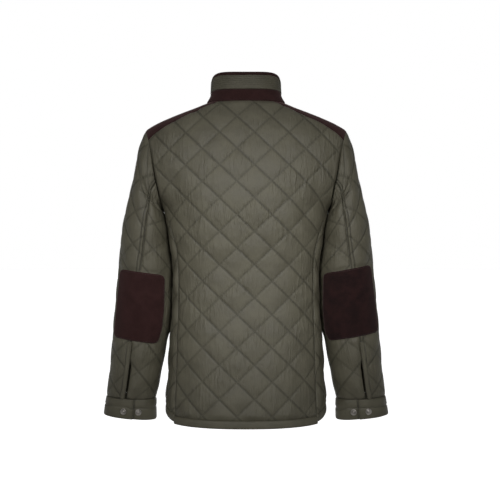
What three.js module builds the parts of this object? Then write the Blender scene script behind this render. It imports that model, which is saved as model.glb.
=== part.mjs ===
import * as THREE from 'three';

// A quilted hip-length jacket, filled out as it is when worn. Millimetres, +Z up. The back of the
// jacket faces +Y and the wearer's left arm is towards +X. The origin lies midway between the
// shoulders, level with the sides of the neck. Each cut piece of cloth is one closed wall.

// Quilting: straight stitch lines at 45 degrees, both ways, that leave padded diamonds.
const QUILT_LINES_APART = 52;
const DIAMOND = QUILT_LINES_APART * Math.SQRT2;
const STEP = DIAMOND / 4;
const PUFF = 4;
const PUFF_ROUNDNESS = 0.6;
const PUFF_FADE = 20;
const PRESSED = 0.72;
const QUILT_LEVEL = -228.2;

// Cloth thicknesses and the gaps between pieces at their seams.
const PADDED_WALL = 2.5;
const YOKE_WALL = 2;
const BAND_WALL = 3;
const SEAM_GAP = 0.3;
const HALF_GAP = SEAM_GAP / 2;
const ARM_HALF_GAP = 0.2;
const MITRE_LIMIT = 1.25;
const NEAR_EDGE = 0.38;
const SKIP_NEAR_EDGE = NEAR_EDGE * STEP;
const FOLD_LEAST = 0.01;

// Levels and edges of the body pieces.
const HEM_LEVEL = -733;
const BAND_HEIGHT = 18;
const FRONT_HEM_AT_SEAM = -728;
const FRONT_HEM_LEVEL = -715;
const UNDERARM = QUILT_LEVEL - STEP;
const OVER_UNDERARM = UNDERARM + 5.6;
const BACK_NECK_EDGE = -4;
const ARM_TOP = -66;
const ARM_MIDDLE = (ARM_TOP + UNDERARM) / 2;
const ARM_REACH = (ARM_TOP - UNDERARM) / 2;
const NECK_HALF = 92;
const NECK_BACK = 60;
const NECK_FRONT = 80;
const YOKE_BACK = { neckX: 62.5, neckY: 44, armX: 226, armY: 50 };
const YOKE_FRONT_NECK_X = 56;
const YOKE_FRONT_ARM_Z = -112;
const YOKE_COLUMNS = 8;
const DENT_REACH = 38;
const ARM_REST = { reach: 52, from: -235, full: -260, fading: -540, end: -600 };

// Collar, placket, sleeves and their trims.
const COLLAR = { half: 77, back: 54, front: 84, wall: 1.9, height: 64, split: 26, upperTop: 61.6 };
const PLACKET = { half: 25, lift: 1.8, wall: 1.8, top: -70, bottom: -711, fade: 27 };
const SLEEVE_END = 583;
const SLEEVE_REST = { from: 0.55, over: 0.3, start: 10, blend: 60 };
const SLEEVE_CRUMPLE = { from: 0.3, over: 0.4, full: 60, blend: 60, flat: 0.8 };
const CUFF = { start: 583.4, crease: 607, end: 629, wall: 2.4, proud: 1, edge: 100, turn: 400, tuck: 3.2 };
const CUFF_CREASE = { half: 6, out: 0.6 };
const CUFF_TUCK = { from: 325, over: 36 };
const PATCH = {
  top: 284, bottom: 437, from: 22, to: 137, corner: 15, lift: 1.2, wall: 2, columns: 9, margin: 4,
};
const VENT = { width: 10, top: 437.5, lift: 1.2, wall: 1.6, clear: 4 };
const SNAP = { radius: 6.5, height: 2.4, sides: 10, lift: 0.3 };
const SNAP_PROFILE = [[0, 0], [1, 0], [1, 0.4], [0.72, 0.62], [0.55, 1], [0, 1]];
const CUFF_SNAP = { level: 612, angles: [80, 113], reach: 5 };
const FRONT_SNAPS = { top: -98, apart: 118, count: 6 };

const OLIVE = { color: 0x5b5849, roughness: 0.62, metalness: 0 };
const BROWN = { color: 0x33201f, roughness: 0.95, metalness: 0 };
const GUNMETAL = { color: 0x4a4a48, roughness: 0.35, metalness: 0.9 };

function table(columns, rows) {
  return rows.map((row) => Object.fromEntries(columns.map((name, k) => [name, row[k]])));
}

// Body outline at each level: half width, depth behind and before the side line, and squareness.
const sections = table(['z', 'half', 'back', 'front', 'square'], [
  [12, 84, 48, 30, 2],
  [0, 92.5, 57, 36, 2],
  [-9, 112.5, 65, 43, 2],
  [-23, 151, 74, 53, 2],
  [-37, 186, 84, 63, 2],
  [-51, 216, 91.5, 72, 2],
  [-66, 236, 98, 80, 2],
  [-85, 249, 104, 88, 2.07],
  [-110, 254, 110, 97, 2.12],
  [-140, 251, 116, 108, 2.16],
  [-180, 238, 121, 119, 2.2],
  [-215, 216, 123, 125, 2.25],
  [-246.6, 193.5, 123, 127, 2.3],
  [-298, 187.5, 119.5, 126, 2.3],
  [-352, 179.5, 114, 122, 2.3],
  [-392, 176, 110.5, 119, 2.3],
  [-451, 177, 110, 118, 2.3],
  [-545, 178.5, 117, 121, 2.3],
  [-630, 180, 126, 125, 2.3],
  [-686, 185, 132, 127, 2.33],
  [-733, 188.5, 137, 129, 2.35],
]);

// How far the hanging arm presses the side of the body in.
const dents = table(['z', 'deep'], [
  [-243, 0], [-262, 4], [-290, 8], [-480, 8], [-520, 4], [-548, 0],
]);

// The armhole seam and the side seam, as half widths at each level.
const armholes = table(['z', 'x'], [
  [-66, 236], [-72, 231], [-85, 226], [-110, 219], [-131, 214], [-178, 206],
  [-202, 201], [-225, 197], [-236, 195.5], [-246.6, 193.5],
]);
const sideSeams = table(['z', 'x'], [
  [-246.6, 193.5], [-255, 189.5], [-270, 183], [-290, 174.5], [-320, 164], [-352, 157], [-400, 154.5],
  [-451, 154.5], [-545, 156.5], [-630, 158], [-686, 159.5], [-733, 161],
]);

// Sleeve rings: distance along, outer and inner end of each ring, half depth, and its middle.
const rings = table(['v', 'outX', 'outZ', 'inX', 'inZ', 'deep', 'y'], [
  [0, 236, -66, 193.5, -246.6, 64, 2],
  [35, 252.5, -108, 196, -252, 68, 2],
  [78, 262.5, -160, 191, -264, 70, 2],
  [131, 275.5, -220, 184, -290, 70, 2],
  [199, 288.5, -295, 177, -335, 66, 1],
  [275, 297, -376, 171.5, -395, 61, -1],
  [337, 303.5, -440, 172.5, -452, 57, -4],
  [414, 311, -517, 180.5, -528, 54, -8],
  [487, 317.5, -590, 194.5, -600, 50, -12],
  [552, 324.5, -655, 207, -662, 46, -15],
  [583, 329.5, -686, 213, -692, 42.5, -16],
  [629, 336.5, -730, 213, -742, 40, -17],
]);

// Where the two sleeve seams run, as degrees round the ring from its outer end.
const sleeveSeams = table(['v', 'back'], [
  [0, 112.9], [60, 100], [150, 81], [583, 80],
]);
const FRONT_SLEEVE_SEAM = -100.7;

// The largest folds: pulls in the sleeve head, and soft creases beside the armholes.
const sleeveFolds = table(['v', 'angle', 'lean', 'long', 'wide', 'deep'], [
  [66, 70, 62, 70, 11, 3.2],
  [84, 112, -38, 62, 12, 3.6],
  [118, 88, 18, 60, 12, 2.6],
  [74, -72, -58, 66, 12, 3.0],
  [262, 96, -8, 56, 12, 2.2],
  [470, -40, 12, 60, 12, 2.0],
]);
const bodyFolds = table(['x', 'z', 'lean', 'long', 'wide', 'deep'], [
  [158, -205, 6, 95, 13, 3.0],
  [132, -262, -12, 70, 14, 2.2],
]);

// Monotone curve through a table's rows, read at one value of its key.
function through(rows, key, value, column) {
  const rising = rows[rows.length - 1][key] > rows[0][key];
  const at = (k) => rows[rising ? k : rows.length - 1 - k];
  const last = rows.length - 1;
  if (value <= at(0)[key]) return at(0)[column];
  if (value >= at(last)[key]) return at(last)[column];
  let k = 0;
  while (at(k + 1)[key] < value) k += 1;
  const slope = (m) => (at(m + 1)[column] - at(m)[column]) / (at(m + 1)[key] - at(m)[key]);
  const tangent = (m) => {
    if (m === 0) return slope(0);
    if (m === last) return slope(last - 1);
    const before = slope(m - 1);
    const after = slope(m);
    return before * after <= 0 ? 0 : (2 * before * after) / (before + after);
  };
  const span = at(k + 1)[key] - at(k)[key];
  const t = (value - at(k)[key]) / span;
  const t2 = t * t;
  const t3 = t2 * t;
  return (2 * t3 - 3 * t2 + 1) * at(k)[column] + (t3 - 2 * t2 + t) * span * tangent(k)
    + (3 * t2 - 2 * t3) * at(k + 1)[column] + (t3 - t2) * span * tangent(k + 1);
}

const radians = THREE.MathUtils.degToRad;
const smooth = (value) => THREE.MathUtils.smoothstep(value, 0, 1);
const signedPower = (value, power) => Math.sign(value) * Math.abs(value) ** power;
const vector = (x, y, z) => new THREE.Vector3(x, y, z);
const moved = (point, direction, distance) => point.clone().addScaledVector(direction, distance);

// One result kept for each value asked for.
function remembered(work) {
  const known = new Map();
  return (value) => {
    if (!known.has(value)) known.set(value, work(value));
    return known.get(value);
  };
}

// The value between low and high where a rising function reaches zero.
function rootOf(rises, low, high) {
  let from = low;
  let to = high;
  for (let k = 0; k < 50; k += 1) {
    const middle = (from + to) / 2;
    if (rises(middle) > 0) to = middle;
    else from = middle;
  }
  return (from + to) / 2;
}

// Height of the padding at a place measured from a crossing of two stitch lines.
function puffAt(u, v) {
  const across = Math.abs(Math.sin((Math.PI * (u + v)) / DIAMOND));
  const along = Math.abs(Math.sin((Math.PI * (u - v)) / DIAMOND));
  return PUFF * (across * along) ** PUFF_ROUNDNESS;
}

// Depth of one soft trough at a place given from its middle.
function troughAt(fold, across, down) {
  const lean = radians(fold.lean);
  const along = down * Math.cos(lean) + across * Math.sin(lean);
  const aside = across * Math.cos(lean) - down * Math.sin(lean);
  const ends = Math.max(0, 1 - (2 * along / fold.long) ** 2);
  return fold.deep * ends * Math.exp(-((aside / fold.wide) ** 2));
}

// Body surface

const sectionAt = remembered((z) => ({
  half: through(sections, 'z', z, 'half'),
  back: through(sections, 'z', z, 'back'),
  front: through(sections, 'z', z, 'front'),
  square: through(sections, 'z', z, 'square'),
  dent: through(dents, 'z', z, 'deep'),
}));

function plainBodyPoint(angle, z) {
  const section = sectionAt(z);
  const power = 2 / section.square;
  const depth = Math.cos(angle) > 0 ? section.back : section.front;
  const x = section.half * signedPower(Math.sin(angle), power);
  const y = depth * signedPower(Math.cos(angle), power);
  const dent = section.dent * Math.exp(-((y / DENT_REACH) ** 2));
  return vector(x - Math.sign(x) * dent, y, z);
}

const BODY_LITTLE = 0.004;

function bodyOut(angle, z) {
  const round = plainBodyPoint(angle + BODY_LITTLE, z).sub(plainBodyPoint(angle - BODY_LITTLE, z));
  const up = plainBodyPoint(angle, z + 1).sub(plainBodyPoint(angle, z - 1));
  return up.cross(round).normalize();
}

function bodyPoint(angle, z) {
  const point = plainBodyPoint(angle, z);
  if (Math.cos(angle) <= 0) return point;
  let deep = 0;
  for (const fold of bodyFolds) deep += troughAt(fold, Math.abs(point.x) - fold.x, z - fold.z);
  return deep < FOLD_LEAST ? point : moved(point, bodyOut(angle, z), -deep);
}

// Angle round the section at which the surface is a given distance from the middle plane.
function angleOfX(x, z) {
  const section = sectionAt(z);
  return Math.asin(Math.min(1, Math.abs(x) / section.half) ** (section.square / 2));
}

function angleOfPlan(x, y, z) {
  const section = sectionAt(z);
  const power = section.square / 2;
  const depth = y > 0 ? section.back : section.front;
  return Math.atan2(signedPower(x / section.half, power), signedPower(y / depth, power));
}

// Level of the shoulder surface above a place in plan.
function shoulderLevel(x, y) {
  return rootOf((z) => {
    const section = sectionAt(z);
    const depth = y > 0 ? section.back : section.front;
    return (Math.abs(x) / section.half) ** section.square + (Math.abs(y) / depth) ** section.square - 1;
  }, -150, 12);
}

// Lengths along the section from the centre back round to the centre front.
const GIRTH_STEPS = 240;
const girthAt = remembered((z) => {
  const lengths = [0];
  let before = plainBodyPoint(0, z);
  for (let k = 1; k <= GIRTH_STEPS; k += 1) {
    const point = plainBodyPoint((Math.PI * k) / GIRTH_STEPS, z);
    lengths.push(lengths[k - 1] + point.distanceTo(before));
    before = point;
  }
  return lengths;
});

function girthTo(angle, z) {
  const lengths = girthAt(z);
  const place = Math.min(GIRTH_STEPS - 1e-9, (Math.abs(angle) / Math.PI) * GIRTH_STEPS);
  const k = Math.floor(place);
  return Math.sign(angle) * (lengths[k] + (lengths[k + 1] - lengths[k]) * (place - k));
}

function angleOfGirth(length, z) {
  const lengths = girthAt(z);
  const wanted = Math.min(Math.abs(length), lengths[GIRTH_STEPS]);
  let k = 0;
  while (k < GIRTH_STEPS - 1 && lengths[k + 1] < wanted) k += 1;
  const share = (wanted - lengths[k]) / (lengths[k + 1] - lengths[k]);
  return (Math.sign(length) * Math.PI * (k + share)) / GIRTH_STEPS;
}

// Armhole: the curve where body and sleeve meet, by its angle from the shoulder tip.

function armholeAngle(z) {
  return Math.acos(THREE.MathUtils.clamp((z - ARM_MIDDLE) / ARM_REACH, -1, 1));
}

function armBodyAngle(turn) {
  const z = ARM_MIDDLE + ARM_REACH * Math.cos(turn);
  const angle = angleOfX(through(armholes, 'z', z, 'x'), z);
  return Math.sin(turn) >= 0 ? angle : Math.PI - angle;
}

const armPoint = remembered((turn) => {
  const z = ARM_MIDDLE + ARM_REACH * Math.cos(turn);
  return plainBodyPoint(armBodyAngle(turn), z);
});

// Sleeve surface

const ringAt = remembered((v) => ({
  outX: through(rings, 'v', v, 'outX'),
  outZ: through(rings, 'v', v, 'outZ'),
  inX: through(rings, 'v', v, 'inX'),
  inZ: through(rings, 'v', v, 'inZ'),
  deep: through(rings, 'v', v, 'deep'),
  y: through(rings, 'v', v, 'y'),
}));

function ringPoint(v, turn) {
  const ring = ringAt(v);
  const share = (1 + Math.cos(turn)) / 2;
  const x = ring.inX + (ring.outX - ring.inX) * share;
  const z = ring.inZ + (ring.outZ - ring.inZ) * share;
  return vector(x, ring.y + ring.deep * Math.sin(turn), z);
}

const SLEEVE_BLEND = 60;

function plainSleevePoint(v, turn) {
  const point = ringPoint(v, turn);
  const share = 1 - smooth(v / SLEEVE_BLEND);
  if (share === 0) return point;
  const full = Math.PI * 2;
  const same = turn > Math.PI ? turn - full : turn;
  return point.add(armPoint(same).clone().sub(ringPoint(0, turn)).multiplyScalar(share));
}

const SLEEVE_LITTLE = 0.02;

const roundSleeve = (v, turn) => plainSleevePoint(v, turn + SLEEVE_LITTLE)
  .sub(plainSleevePoint(v, turn - SLEEVE_LITTLE));

function sleeveOut(v, turn) {
  const low = Math.max(0, v - 1);
  const along = plainSleevePoint(low + 2, turn).sub(plainSleevePoint(low, turn));
  return along.cross(roundSleeve(v, turn)).normalize();
}

// Lengths round the ring, from its outer end, for angles from FIRST_TURN to LAST_TURN.
const FIRST_TURN = radians(-120);
const LAST_TURN = radians(280);
const RING_STEPS = 200;
const turnOfStep = (k) => FIRST_TURN + ((LAST_TURN - FIRST_TURN) * k) / RING_STEPS;
const ringLengths = remembered((v) => {
  const lengths = [0];
  let before = plainSleevePoint(v, FIRST_TURN);
  for (let k = 1; k <= RING_STEPS; k += 1) {
    const point = plainSleevePoint(v, turnOfStep(k));
    lengths.push(lengths[k - 1] + point.distanceTo(before));
    before = point;
  }
  return lengths;
});

function rawLengthOfTurn(turn, v) {
  const lengths = ringLengths(v);
  const place = THREE.MathUtils.clamp(
    ((turn - FIRST_TURN) / (LAST_TURN - FIRST_TURN)) * RING_STEPS, 0, RING_STEPS - 1e-9);
  const k = Math.floor(place);
  return lengths[k] + (lengths[k + 1] - lengths[k]) * (place - k);
}

const lengthOfTurn = (turn, v) => rawLengthOfTurn(turn, v) - rawLengthOfTurn(0, v);

function turnOfLength(length, v) {
  const lengths = ringLengths(v);
  const wanted = length + rawLengthOfTurn(0, v);
  let k = 0;
  while (k < RING_STEPS - 1 && lengths[k + 1] < wanted) k += 1;
  return turnOfStep(k + (wanted - lengths[k]) / (lengths[k + 1] - lengths[k]));
}

function sleevePoint(v, turn) {
  const point = plainSleevePoint(v, turn);
  let deep = 0;
  for (const fold of sleeveFolds) {
    const across = lengthOfTurn(turn, v) - lengthOfTurn(radians(fold.angle), v);
    deep += troughAt(fold, across, v - fold.v);
  }
  deep *= smooth(v / STEP);
  return deep < FOLD_LEAST ? point : moved(point, sleeveOut(v, turn), -deep);
}

// Armhole seam: the mitred place that body and sleeve share, and the way from body to sleeve.
const armSeam = remembered((turn) => {
  const z = ARM_MIDDLE + ARM_REACH * Math.cos(turn);
  const place = armPoint(turn);
  const fromBody = bodyOut(armBodyAngle(turn), z);
  const fromSleeve = sleeveOut(0, turn);
  const mitre = fromBody.clone().add(fromSleeve).normalize();
  const long = Math.min(MITRE_LIMIT, 1 / Math.max(0.1, mitre.dot(fromBody)));
  const apart = roundSleeve(0, turn).cross(mitre).normalize();
  const towards = plainSleevePoint(STEP, turn).sub(place);
  if (apart.dot(towards) < 0) apart.negate();
  return { place, mitre, long, apart };
});

function armVertex(turn, side, wall, shift) {
  const seam = armSeam(turn);
  const outer = moved(seam.place, seam.apart, side * ARM_HALF_GAP);
  if (shift) outer.add(shift);
  return { outer, inner: moved(outer, seam.mitre, -wall * seam.long) };
}

// Walls from rows of vertices

// Whether a grid cell's diagonal rises, so that it follows the stitch line through the cell.
function diagonalRises(i, j) {
  const evenI = i % 2 === 0 ? i : i + 1;
  const evenJ = j % 2 === 0 ? j : j + 1;
  return ((i + j) % 2 === 0) === ((evenI - evenJ) % 4 === 0);
}

// Joins two rows of vertices with triangles. Where both rows stand on the quilting's grid, the
// diagonals follow the stitch lines, and elsewhere they are the shorter ones.
function zip(lower, upper, side, add) {
  let a = 0;
  let b = 0;
  while (a < lower.length - 1 || b < upper.length - 1) {
    let stepUpper = a === lower.length - 1;
    if (!stepUpper && b < upper.length - 1) {
      const here = lower[a];
      const cell = [here, lower[a + 1], upper[b], upper[b + 1]];
      const onGrid = side === 'outer' && cell.every((vertex) => vertex.i !== undefined)
        && here.i === upper[b].i && lower[a + 1].i === upper[b + 1].i
        && here.j !== undefined && upper[b].j === here.j + 1;
      if (onGrid) {
        stepUpper = diagonalRises(here.i, here.j);
      } else {
        stepUpper = here[side].distanceTo(upper[b + 1][side]) < lower[a + 1][side].distanceTo(upper[b][side]);
      }
    }
    if (stepUpper) {
      add(lower[a], upper[b + 1], upper[b]);
      b += 1;
    } else {
      add(lower[a], lower[a + 1], upper[b]);
      a += 1;
    }
  }
}

function geometryOf(points, faces) {
  let volume = 0;
  for (const [a, b, c] of faces) {
    volume += points[a].dot(points[b].clone().cross(points[c]));
  }
  const turned = volume < 0 ? faces.map(([a, b, c]) => [a, c, b]) : faces;
  const geometry = new THREE.BufferGeometry();
  geometry.setAttribute('position', new THREE.Float32BufferAttribute(points.flatMap((p) => p.toArray()), 3));
  geometry.setIndex(turned.flat());
  geometry.computeVertexNormals();
  return geometry;
}

// A closed wall: the outer skin has every vertex, and the inner one only those marked as kept.
function wallOf(rows) {
  const points = [];
  const faces = [];
  const indexOf = (vertex, side) => {
    const name = `${side}Index`;
    if (vertex[name] === undefined) {
      vertex[name] = points.length;
      points.push(vertex[side]);
    }
    return vertex[name];
  };
  const face = (...corners) => faces.push(corners.map(([vertex, side]) => indexOf(vertex, side)));
  for (let r = 0; r < rows.length - 1; r += 1) {
    zip(rows[r], rows[r + 1], 'outer', (a, b, c) => face([a, 'outer'], [b, 'outer'], [c, 'outer']));
  }
  const kept = rows.filter((row) => row.some((vertex) => vertex.kept))
    .map((row) => row.filter((vertex) => vertex.kept));
  for (let r = 0; r < kept.length - 1; r += 1) {
    zip(kept[r], kept[r + 1], 'inner', (a, b, c) => face([a, 'inner'], [c, 'inner'], [b, 'inner']));
  }
  const top = rows.length - 1;
  const border = [...rows[0]];
  for (let r = 1; r < top; r += 1) border.push(rows[r][rows[r].length - 1]);
  border.push(...[...rows[top]].reverse());
  for (let r = top - 1; r > 0; r -= 1) border.push(rows[r][0]);
  const loop = border.filter((vertex, k) => vertex !== border[(k + 1) % border.length]);
  rimOf(loop, face);
  return geometryOf(points, faces);
}

const RIM_ORDER = vector(0, 0.3, 1);

// Joins the outer edge loop to the kept inner vertices, the same way from either side of a seam.
function rimOf(loop, face) {
  const size = loop.length;
  const heightOf = (vertex) => vertex.outer.dot(RIM_ORDER);
  const stops = loop.map((vertex, k) => k).filter((k) => loop[k].kept);
  stops.forEach((from, n) => {
    const to = n + 1 < stops.length ? stops[n + 1] : stops[0] + size;
    const at = (k) => loop[k % size];
    const first = at(from);
    const last = at(to);
    const skipped = to - from - 1;
    let middle = from + Math.ceil(skipped / 2);
    if (skipped === 0) middle = heightOf(first) < heightOf(last) ? from : to;
    for (let k = from; k < middle; k += 1) face([at(k), 'outer'], [first, 'inner'], [at(k + 1), 'outer']);
    face([at(middle), 'outer'], [first, 'inner'], [last, 'inner']);
    for (let k = middle; k < to; k += 1) face([at(k), 'outer'], [last, 'inner'], [at(k + 1), 'outer']);
  });
}

// A closed solid from one profile repeated at each station, with a flat cap on either end.
function sweptOf(stations, outline) {
  const points = stations.flat();
  const size = outline.length;
  const faces = [];
  for (let s = 0; s < stations.length - 1; s += 1) {
    for (let k = 0; k < size; k += 1) {
      const a = s * size + k;
      const b = s * size + ((k + 1) % size);
      faces.push([a, b, b + size], [a, b + size, a + size]);
    }
  }
  const shift = (stations.length - 1) * size;
  const clockwise = THREE.ShapeUtils.isClockWise(outline.map(([x, y]) => new THREE.Vector2(x, y)));
  const caps = THREE.ShapeUtils.triangulateShape(outline.map(([x, y]) => new THREE.Vector2(x, y)), []);
  for (const [a, b, c] of caps) {
    const forward = anticlockwise(outline[a], outline[b], outline[c]) !== clockwise;
    faces.push(forward ? [a, c, b] : [a, b, c]);
    faces.push(forward ? [a + shift, b + shift, c + shift] : [a + shift, c + shift, b + shift]);
  }
  return geometryOf(points, faces);
}

const anticlockwise = ([ax, ay], [bx, by], [cx, cy]) => (bx - ax) * (cy - ay) > (by - ay) * (cx - ax);

function mirrored(geometry) {
  const copy = geometry.clone();
  const place = copy.getAttribute('position');
  for (let k = 0; k < place.count; k += 1) place.setX(k, -place.getX(k));
  const index = Array.from(copy.getIndex().array);
  for (let k = 0; k < index.length; k += 3) {
    [index[k + 1], index[k + 2]] = [index[k + 2], index[k + 1]];
  }
  copy.setIndex(index);
  copy.computeVertexNormals();
  return copy;
}

// Grid columns strictly between two ends of a row, clear of both.
function columnsBetween(low, high, shift) {
  const columns = [];
  const first = Math.ceil((low + SKIP_NEAR_EDGE - shift) / STEP);
  const last = Math.floor((high - SKIP_NEAR_EDGE - shift) / STEP);
  for (let i = first; i <= last; i += 1) columns.push({ i, u: i * STEP + shift });
  return columns;
}

const gridLevel = (j) => QUILT_LEVEL + j * STEP;

// The columns of a row with their padding. A row off the grid keeps to the flat facets between the
// grid rows beside it, also where it crosses each cell's diagonal.
function paddedColumns(columns, z, j, shift, liftAt) {
  if (j !== undefined) return columns.map(({ i, u }) => ({ i, j, u, lift: liftAt(u, z) }));
  const below = Math.floor((z - QUILT_LEVEL) / STEP);
  const share = (z - gridLevel(below)) / STEP;
  const between = (low, high) => (1 - share) * liftAt(low * STEP + shift, gridLevel(below))
    + share * liftAt(high * STEP + shift, gridLevel(below + 1));
  const places = [];
  columns.forEach(({ i, u }, k) => {
    places.push({ i, u, lift: between(i, i) });
    if (k === columns.length - 1) return;
    const rises = diagonalRises(i, below);
    const across = rises ? i + share : i + 1 - share;
    places.push({ u: across * STEP + shift, lift: rises ? between(i, i + 1) : between(i + 1, i) });
  });
  return places;
}

// Yoke edges, shared with the back, the fronts and the collar

const yokeLine = (x) => YOKE_BACK.neckY
  + ((YOKE_BACK.armY - YOKE_BACK.neckY) * (x - YOKE_BACK.neckX)) / (YOKE_BACK.armX - YOKE_BACK.neckX);
const YOKE_BACK_ARM_Z = rootOf((z) => {
  const x = through(armholes, 'z', z, 'x');
  return yokeLine(x) - plainBodyPoint(angleOfX(x, z), z).y;
}, -120, -70);

function yokeBackX(z) {
  return rootOf((x) => z - shoulderLevel(x, yokeLine(x)), YOKE_BACK.neckX - 20, YOKE_BACK.armX + 4);
}

const NECK_FRONT_TURN = Math.PI - Math.asin(YOKE_FRONT_NECK_X / NECK_HALF);
const NECK_BACK_TURN = Math.asin(YOKE_BACK.neckX / NECK_HALF);

function neckPlan(turn) {
  const depth = Math.cos(turn) > 0 ? NECK_BACK : NECK_FRONT;
  return { x: NECK_HALF * Math.sin(turn), y: depth * Math.cos(turn) };
}

const neckPoint = remembered((turn) => {
  const { x, y } = neckPlan(turn);
  return vector(x, y, shoulderLevel(x, y));
});

const YOKE_FRONT_NECK_Z = neckPoint(NECK_FRONT_TURN).z;

function yokeFrontX(z) {
  const share = (z - YOKE_FRONT_NECK_Z) / (YOKE_FRONT_ARM_Z - YOKE_FRONT_NECK_Z);
  const armX = through(armholes, 'z', YOKE_FRONT_ARM_Z, 'x');
  return YOKE_FRONT_NECK_X + (armX - YOKE_FRONT_NECK_X) * share;
}

const NECK_CORNER_Z = neckPoint(NECK_BACK_TURN).z;
const yokeBackLevels = [NECK_CORNER_Z, gridLevel(12), gridLevel(11), gridLevel(10), gridLevel(9), gridLevel(8),
  YOKE_BACK_ARM_Z];
const yokeFrontLevels = [YOKE_FRONT_NECK_Z, (YOKE_FRONT_NECK_Z + gridLevel(9)) / 2, gridLevel(9),
  (gridLevel(9) + gridLevel(8)) / 2, gridLevel(8), gridLevel(7), YOKE_FRONT_ARM_Z];

function yokeBackPoint(z) {
  if (z === NECK_CORNER_Z) return neckPoint(NECK_BACK_TURN).clone();
  if (z === YOKE_BACK_ARM_Z) return armPoint(armholeAngle(z)).clone();
  const x = yokeBackX(z);
  return vector(x, yokeLine(x), z);
}

function yokeFrontPoint(z) {
  if (z === YOKE_FRONT_NECK_Z) return neckPoint(NECK_FRONT_TURN).clone();
  if (z === YOKE_FRONT_ARM_Z) return armPoint(-armholeAngle(z)).clone();
  const angle = Math.PI - angleOfX(yokeFrontX(z), z);
  return plainBodyPoint(angle, z);
}

const outAtPlace = (point) => bodyOut(angleOfPlan(point.x, point.y, point.z), point.z);

// Direction in the cloth, square to an edge between two of its points, towards the yoke.
function towardsYoke(before, after, place, yokeSide) {
  const direction = after.clone().sub(before).cross(outAtPlace(place)).normalize();
  return direction.dot(yokeSide) < 0 ? direction.negate() : direction;
}

function edgeShift(levels, pointOf, k, yokeSide) {
  const before = pointOf(levels[Math.max(0, k - 1)]);
  const after = pointOf(levels[Math.min(levels.length - 1, k + 1)]);
  return towardsYoke(before, after, pointOf(levels[k]), yokeSide);
}

const FORWARD = vector(0, -1, 0);
const BACKWARD = vector(0, 1, 0);
const backEdgeShift = (k) => edgeShift(yokeBackLevels, yokeBackPoint, k, FORWARD);
const frontEdgeShift = (k) => edgeShift(yokeFrontLevels, yokeFrontPoint, k, BACKWARD);

// Back panel

const BACK_SHIFT = -STEP;
const FRONT_SHIFT = 0;

function sideAngle(z) {
  return angleOfX(through(sideSeams, 'z', z, 'x'), z);
}

// Height of the padding, less near a row's ends and where an arm rests on it.
function bodyPuff(u, v, z, fromEdge, angle) {
  const { reach, from, full, fading, end } = ARM_REST;
  const facesArm = Math.exp(-((plainBodyPoint(angle, z).y / reach) ** 2));
  const besideArm = facesArm * smooth((from - z) / (from - full)) * smooth((z - end) / (fading - end));
  return puffAt(u, v) * smooth(fromEdge / PUFF_FADE) * (1 - PRESSED * besideArm);
}

function backRowEnd(z) {
  if (z <= UNDERARM) return { angle: sideAngle(z), kind: 'side' };
  if (z <= YOKE_BACK_ARM_Z) return { angle: armBodyAngle(armholeAngle(z)), kind: 'arm' };
  return { angle: angleOfX(yokeBackX(z), z), kind: 'yoke' };
}

const UNDERARM_ROW = -1;
const bodyKeptRow = (j) => j === undefined || j >= UNDERARM_ROW - 1 || (j - UNDERARM_ROW + 1) % 4 === 0;

function flipped(vertex) {
  const turn = (point) => vector(-point.x, point.y, point.z);
  return { ...vertex, u: -vertex.u, outer: turn(vertex.outer), inner: turn(vertex.inner) };
}

function backEndVertex(z) {
  const end = backRowEnd(z);
  const u = girthTo(end.angle, z);
  if (end.kind === 'arm') {
    const last = yokeBackLevels.length - 1;
    const corner = z === YOKE_BACK_ARM_Z ? backEdgeShift(last).multiplyScalar(-HALF_GAP) : null;
    return { u, ...armVertex(armholeAngle(z), -1, PADDED_WALL, corner) };
  }
  if (end.kind === 'yoke') {
    const k = yokeBackLevels.indexOf(z);
    const outer = moved(yokeBackPoint(z), backEdgeShift(k), -HALF_GAP);
    return { u, outer, inner: moved(outer, outAtPlace(outer), -PADDED_WALL) };
  }
  if (z === UNDERARM) {
    return { u, ...armVertex(Math.PI, -1, PADDED_WALL, vector(0, HALF_GAP, 0)) };
  }
  const angle = angleOfGirth(u - HALF_GAP, z);
  const outer = bodyPoint(angle, z);
  return { u: u - HALF_GAP, outer, inner: moved(outer, bodyOut(angle, z), -PADDED_WALL) };
}

// A place on a padded panel, kept on the inner skin where the grid's even columns are.
function paddedVertex({ u, i, j, lift }, angle, z, keptRow) {
  const out = bodyOut(angle, z);
  const base = bodyPoint(angle, z);
  const outer = moved(base, out, lift);
  return { u, i, j, outer, inner: moved(base, out, -PADDED_WALL), kept: keptRow && i % 2 === 0 };
}

function backLift(u, z) {
  const fromSeam = girthTo(backRowEnd(z).angle, z) - Math.abs(u);
  const fromEdge = Math.min(fromSeam, z - HEM_LEVEL - BAND_HEIGHT, BACK_NECK_EDGE - z);
  return bodyPuff(u - BACK_SHIFT, z - QUILT_LEVEL, z, fromEdge, angleOfGirth(u, z));
}

function backRow(z, j) {
  const keptRow = bodyKeptRow(j);
  const end = { ...backEndVertex(z), kept: keptRow };
  const columns = columnsBetween(-end.u, end.u, BACK_SHIFT);
  const middle = paddedColumns(columns, z, j, BACK_SHIFT, backLift)
    .map((place) => paddedVertex(place, angleOfGirth(place.u, z), z, keptRow));
  return [{ ...flipped(end), kept: keptRow }, ...middle, end];
}

// Grid rows from the lowest to the highest, with the levels of the underarm and of a yoke's corner.
function levelsOf(lowest, highest, corner) {
  const levels = [{ z: OVER_UNDERARM }, { z: corner }];
  for (let j = lowest; j <= highest; j += 1) levels.push({ z: gridLevel(j), j });
  return levels.sort((a, b) => a.z - b.z);
}

const BACK_GRID = { lowest: -26, highest: 12 };
const PANEL_BOTTOM = HEM_LEVEL + BAND_HEIGHT + HALF_GAP;
const backLevels = [{ z: PANEL_BOTTOM }, ...levelsOf(BACK_GRID.lowest, BACK_GRID.highest, YOKE_BACK_ARM_Z)];

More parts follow.
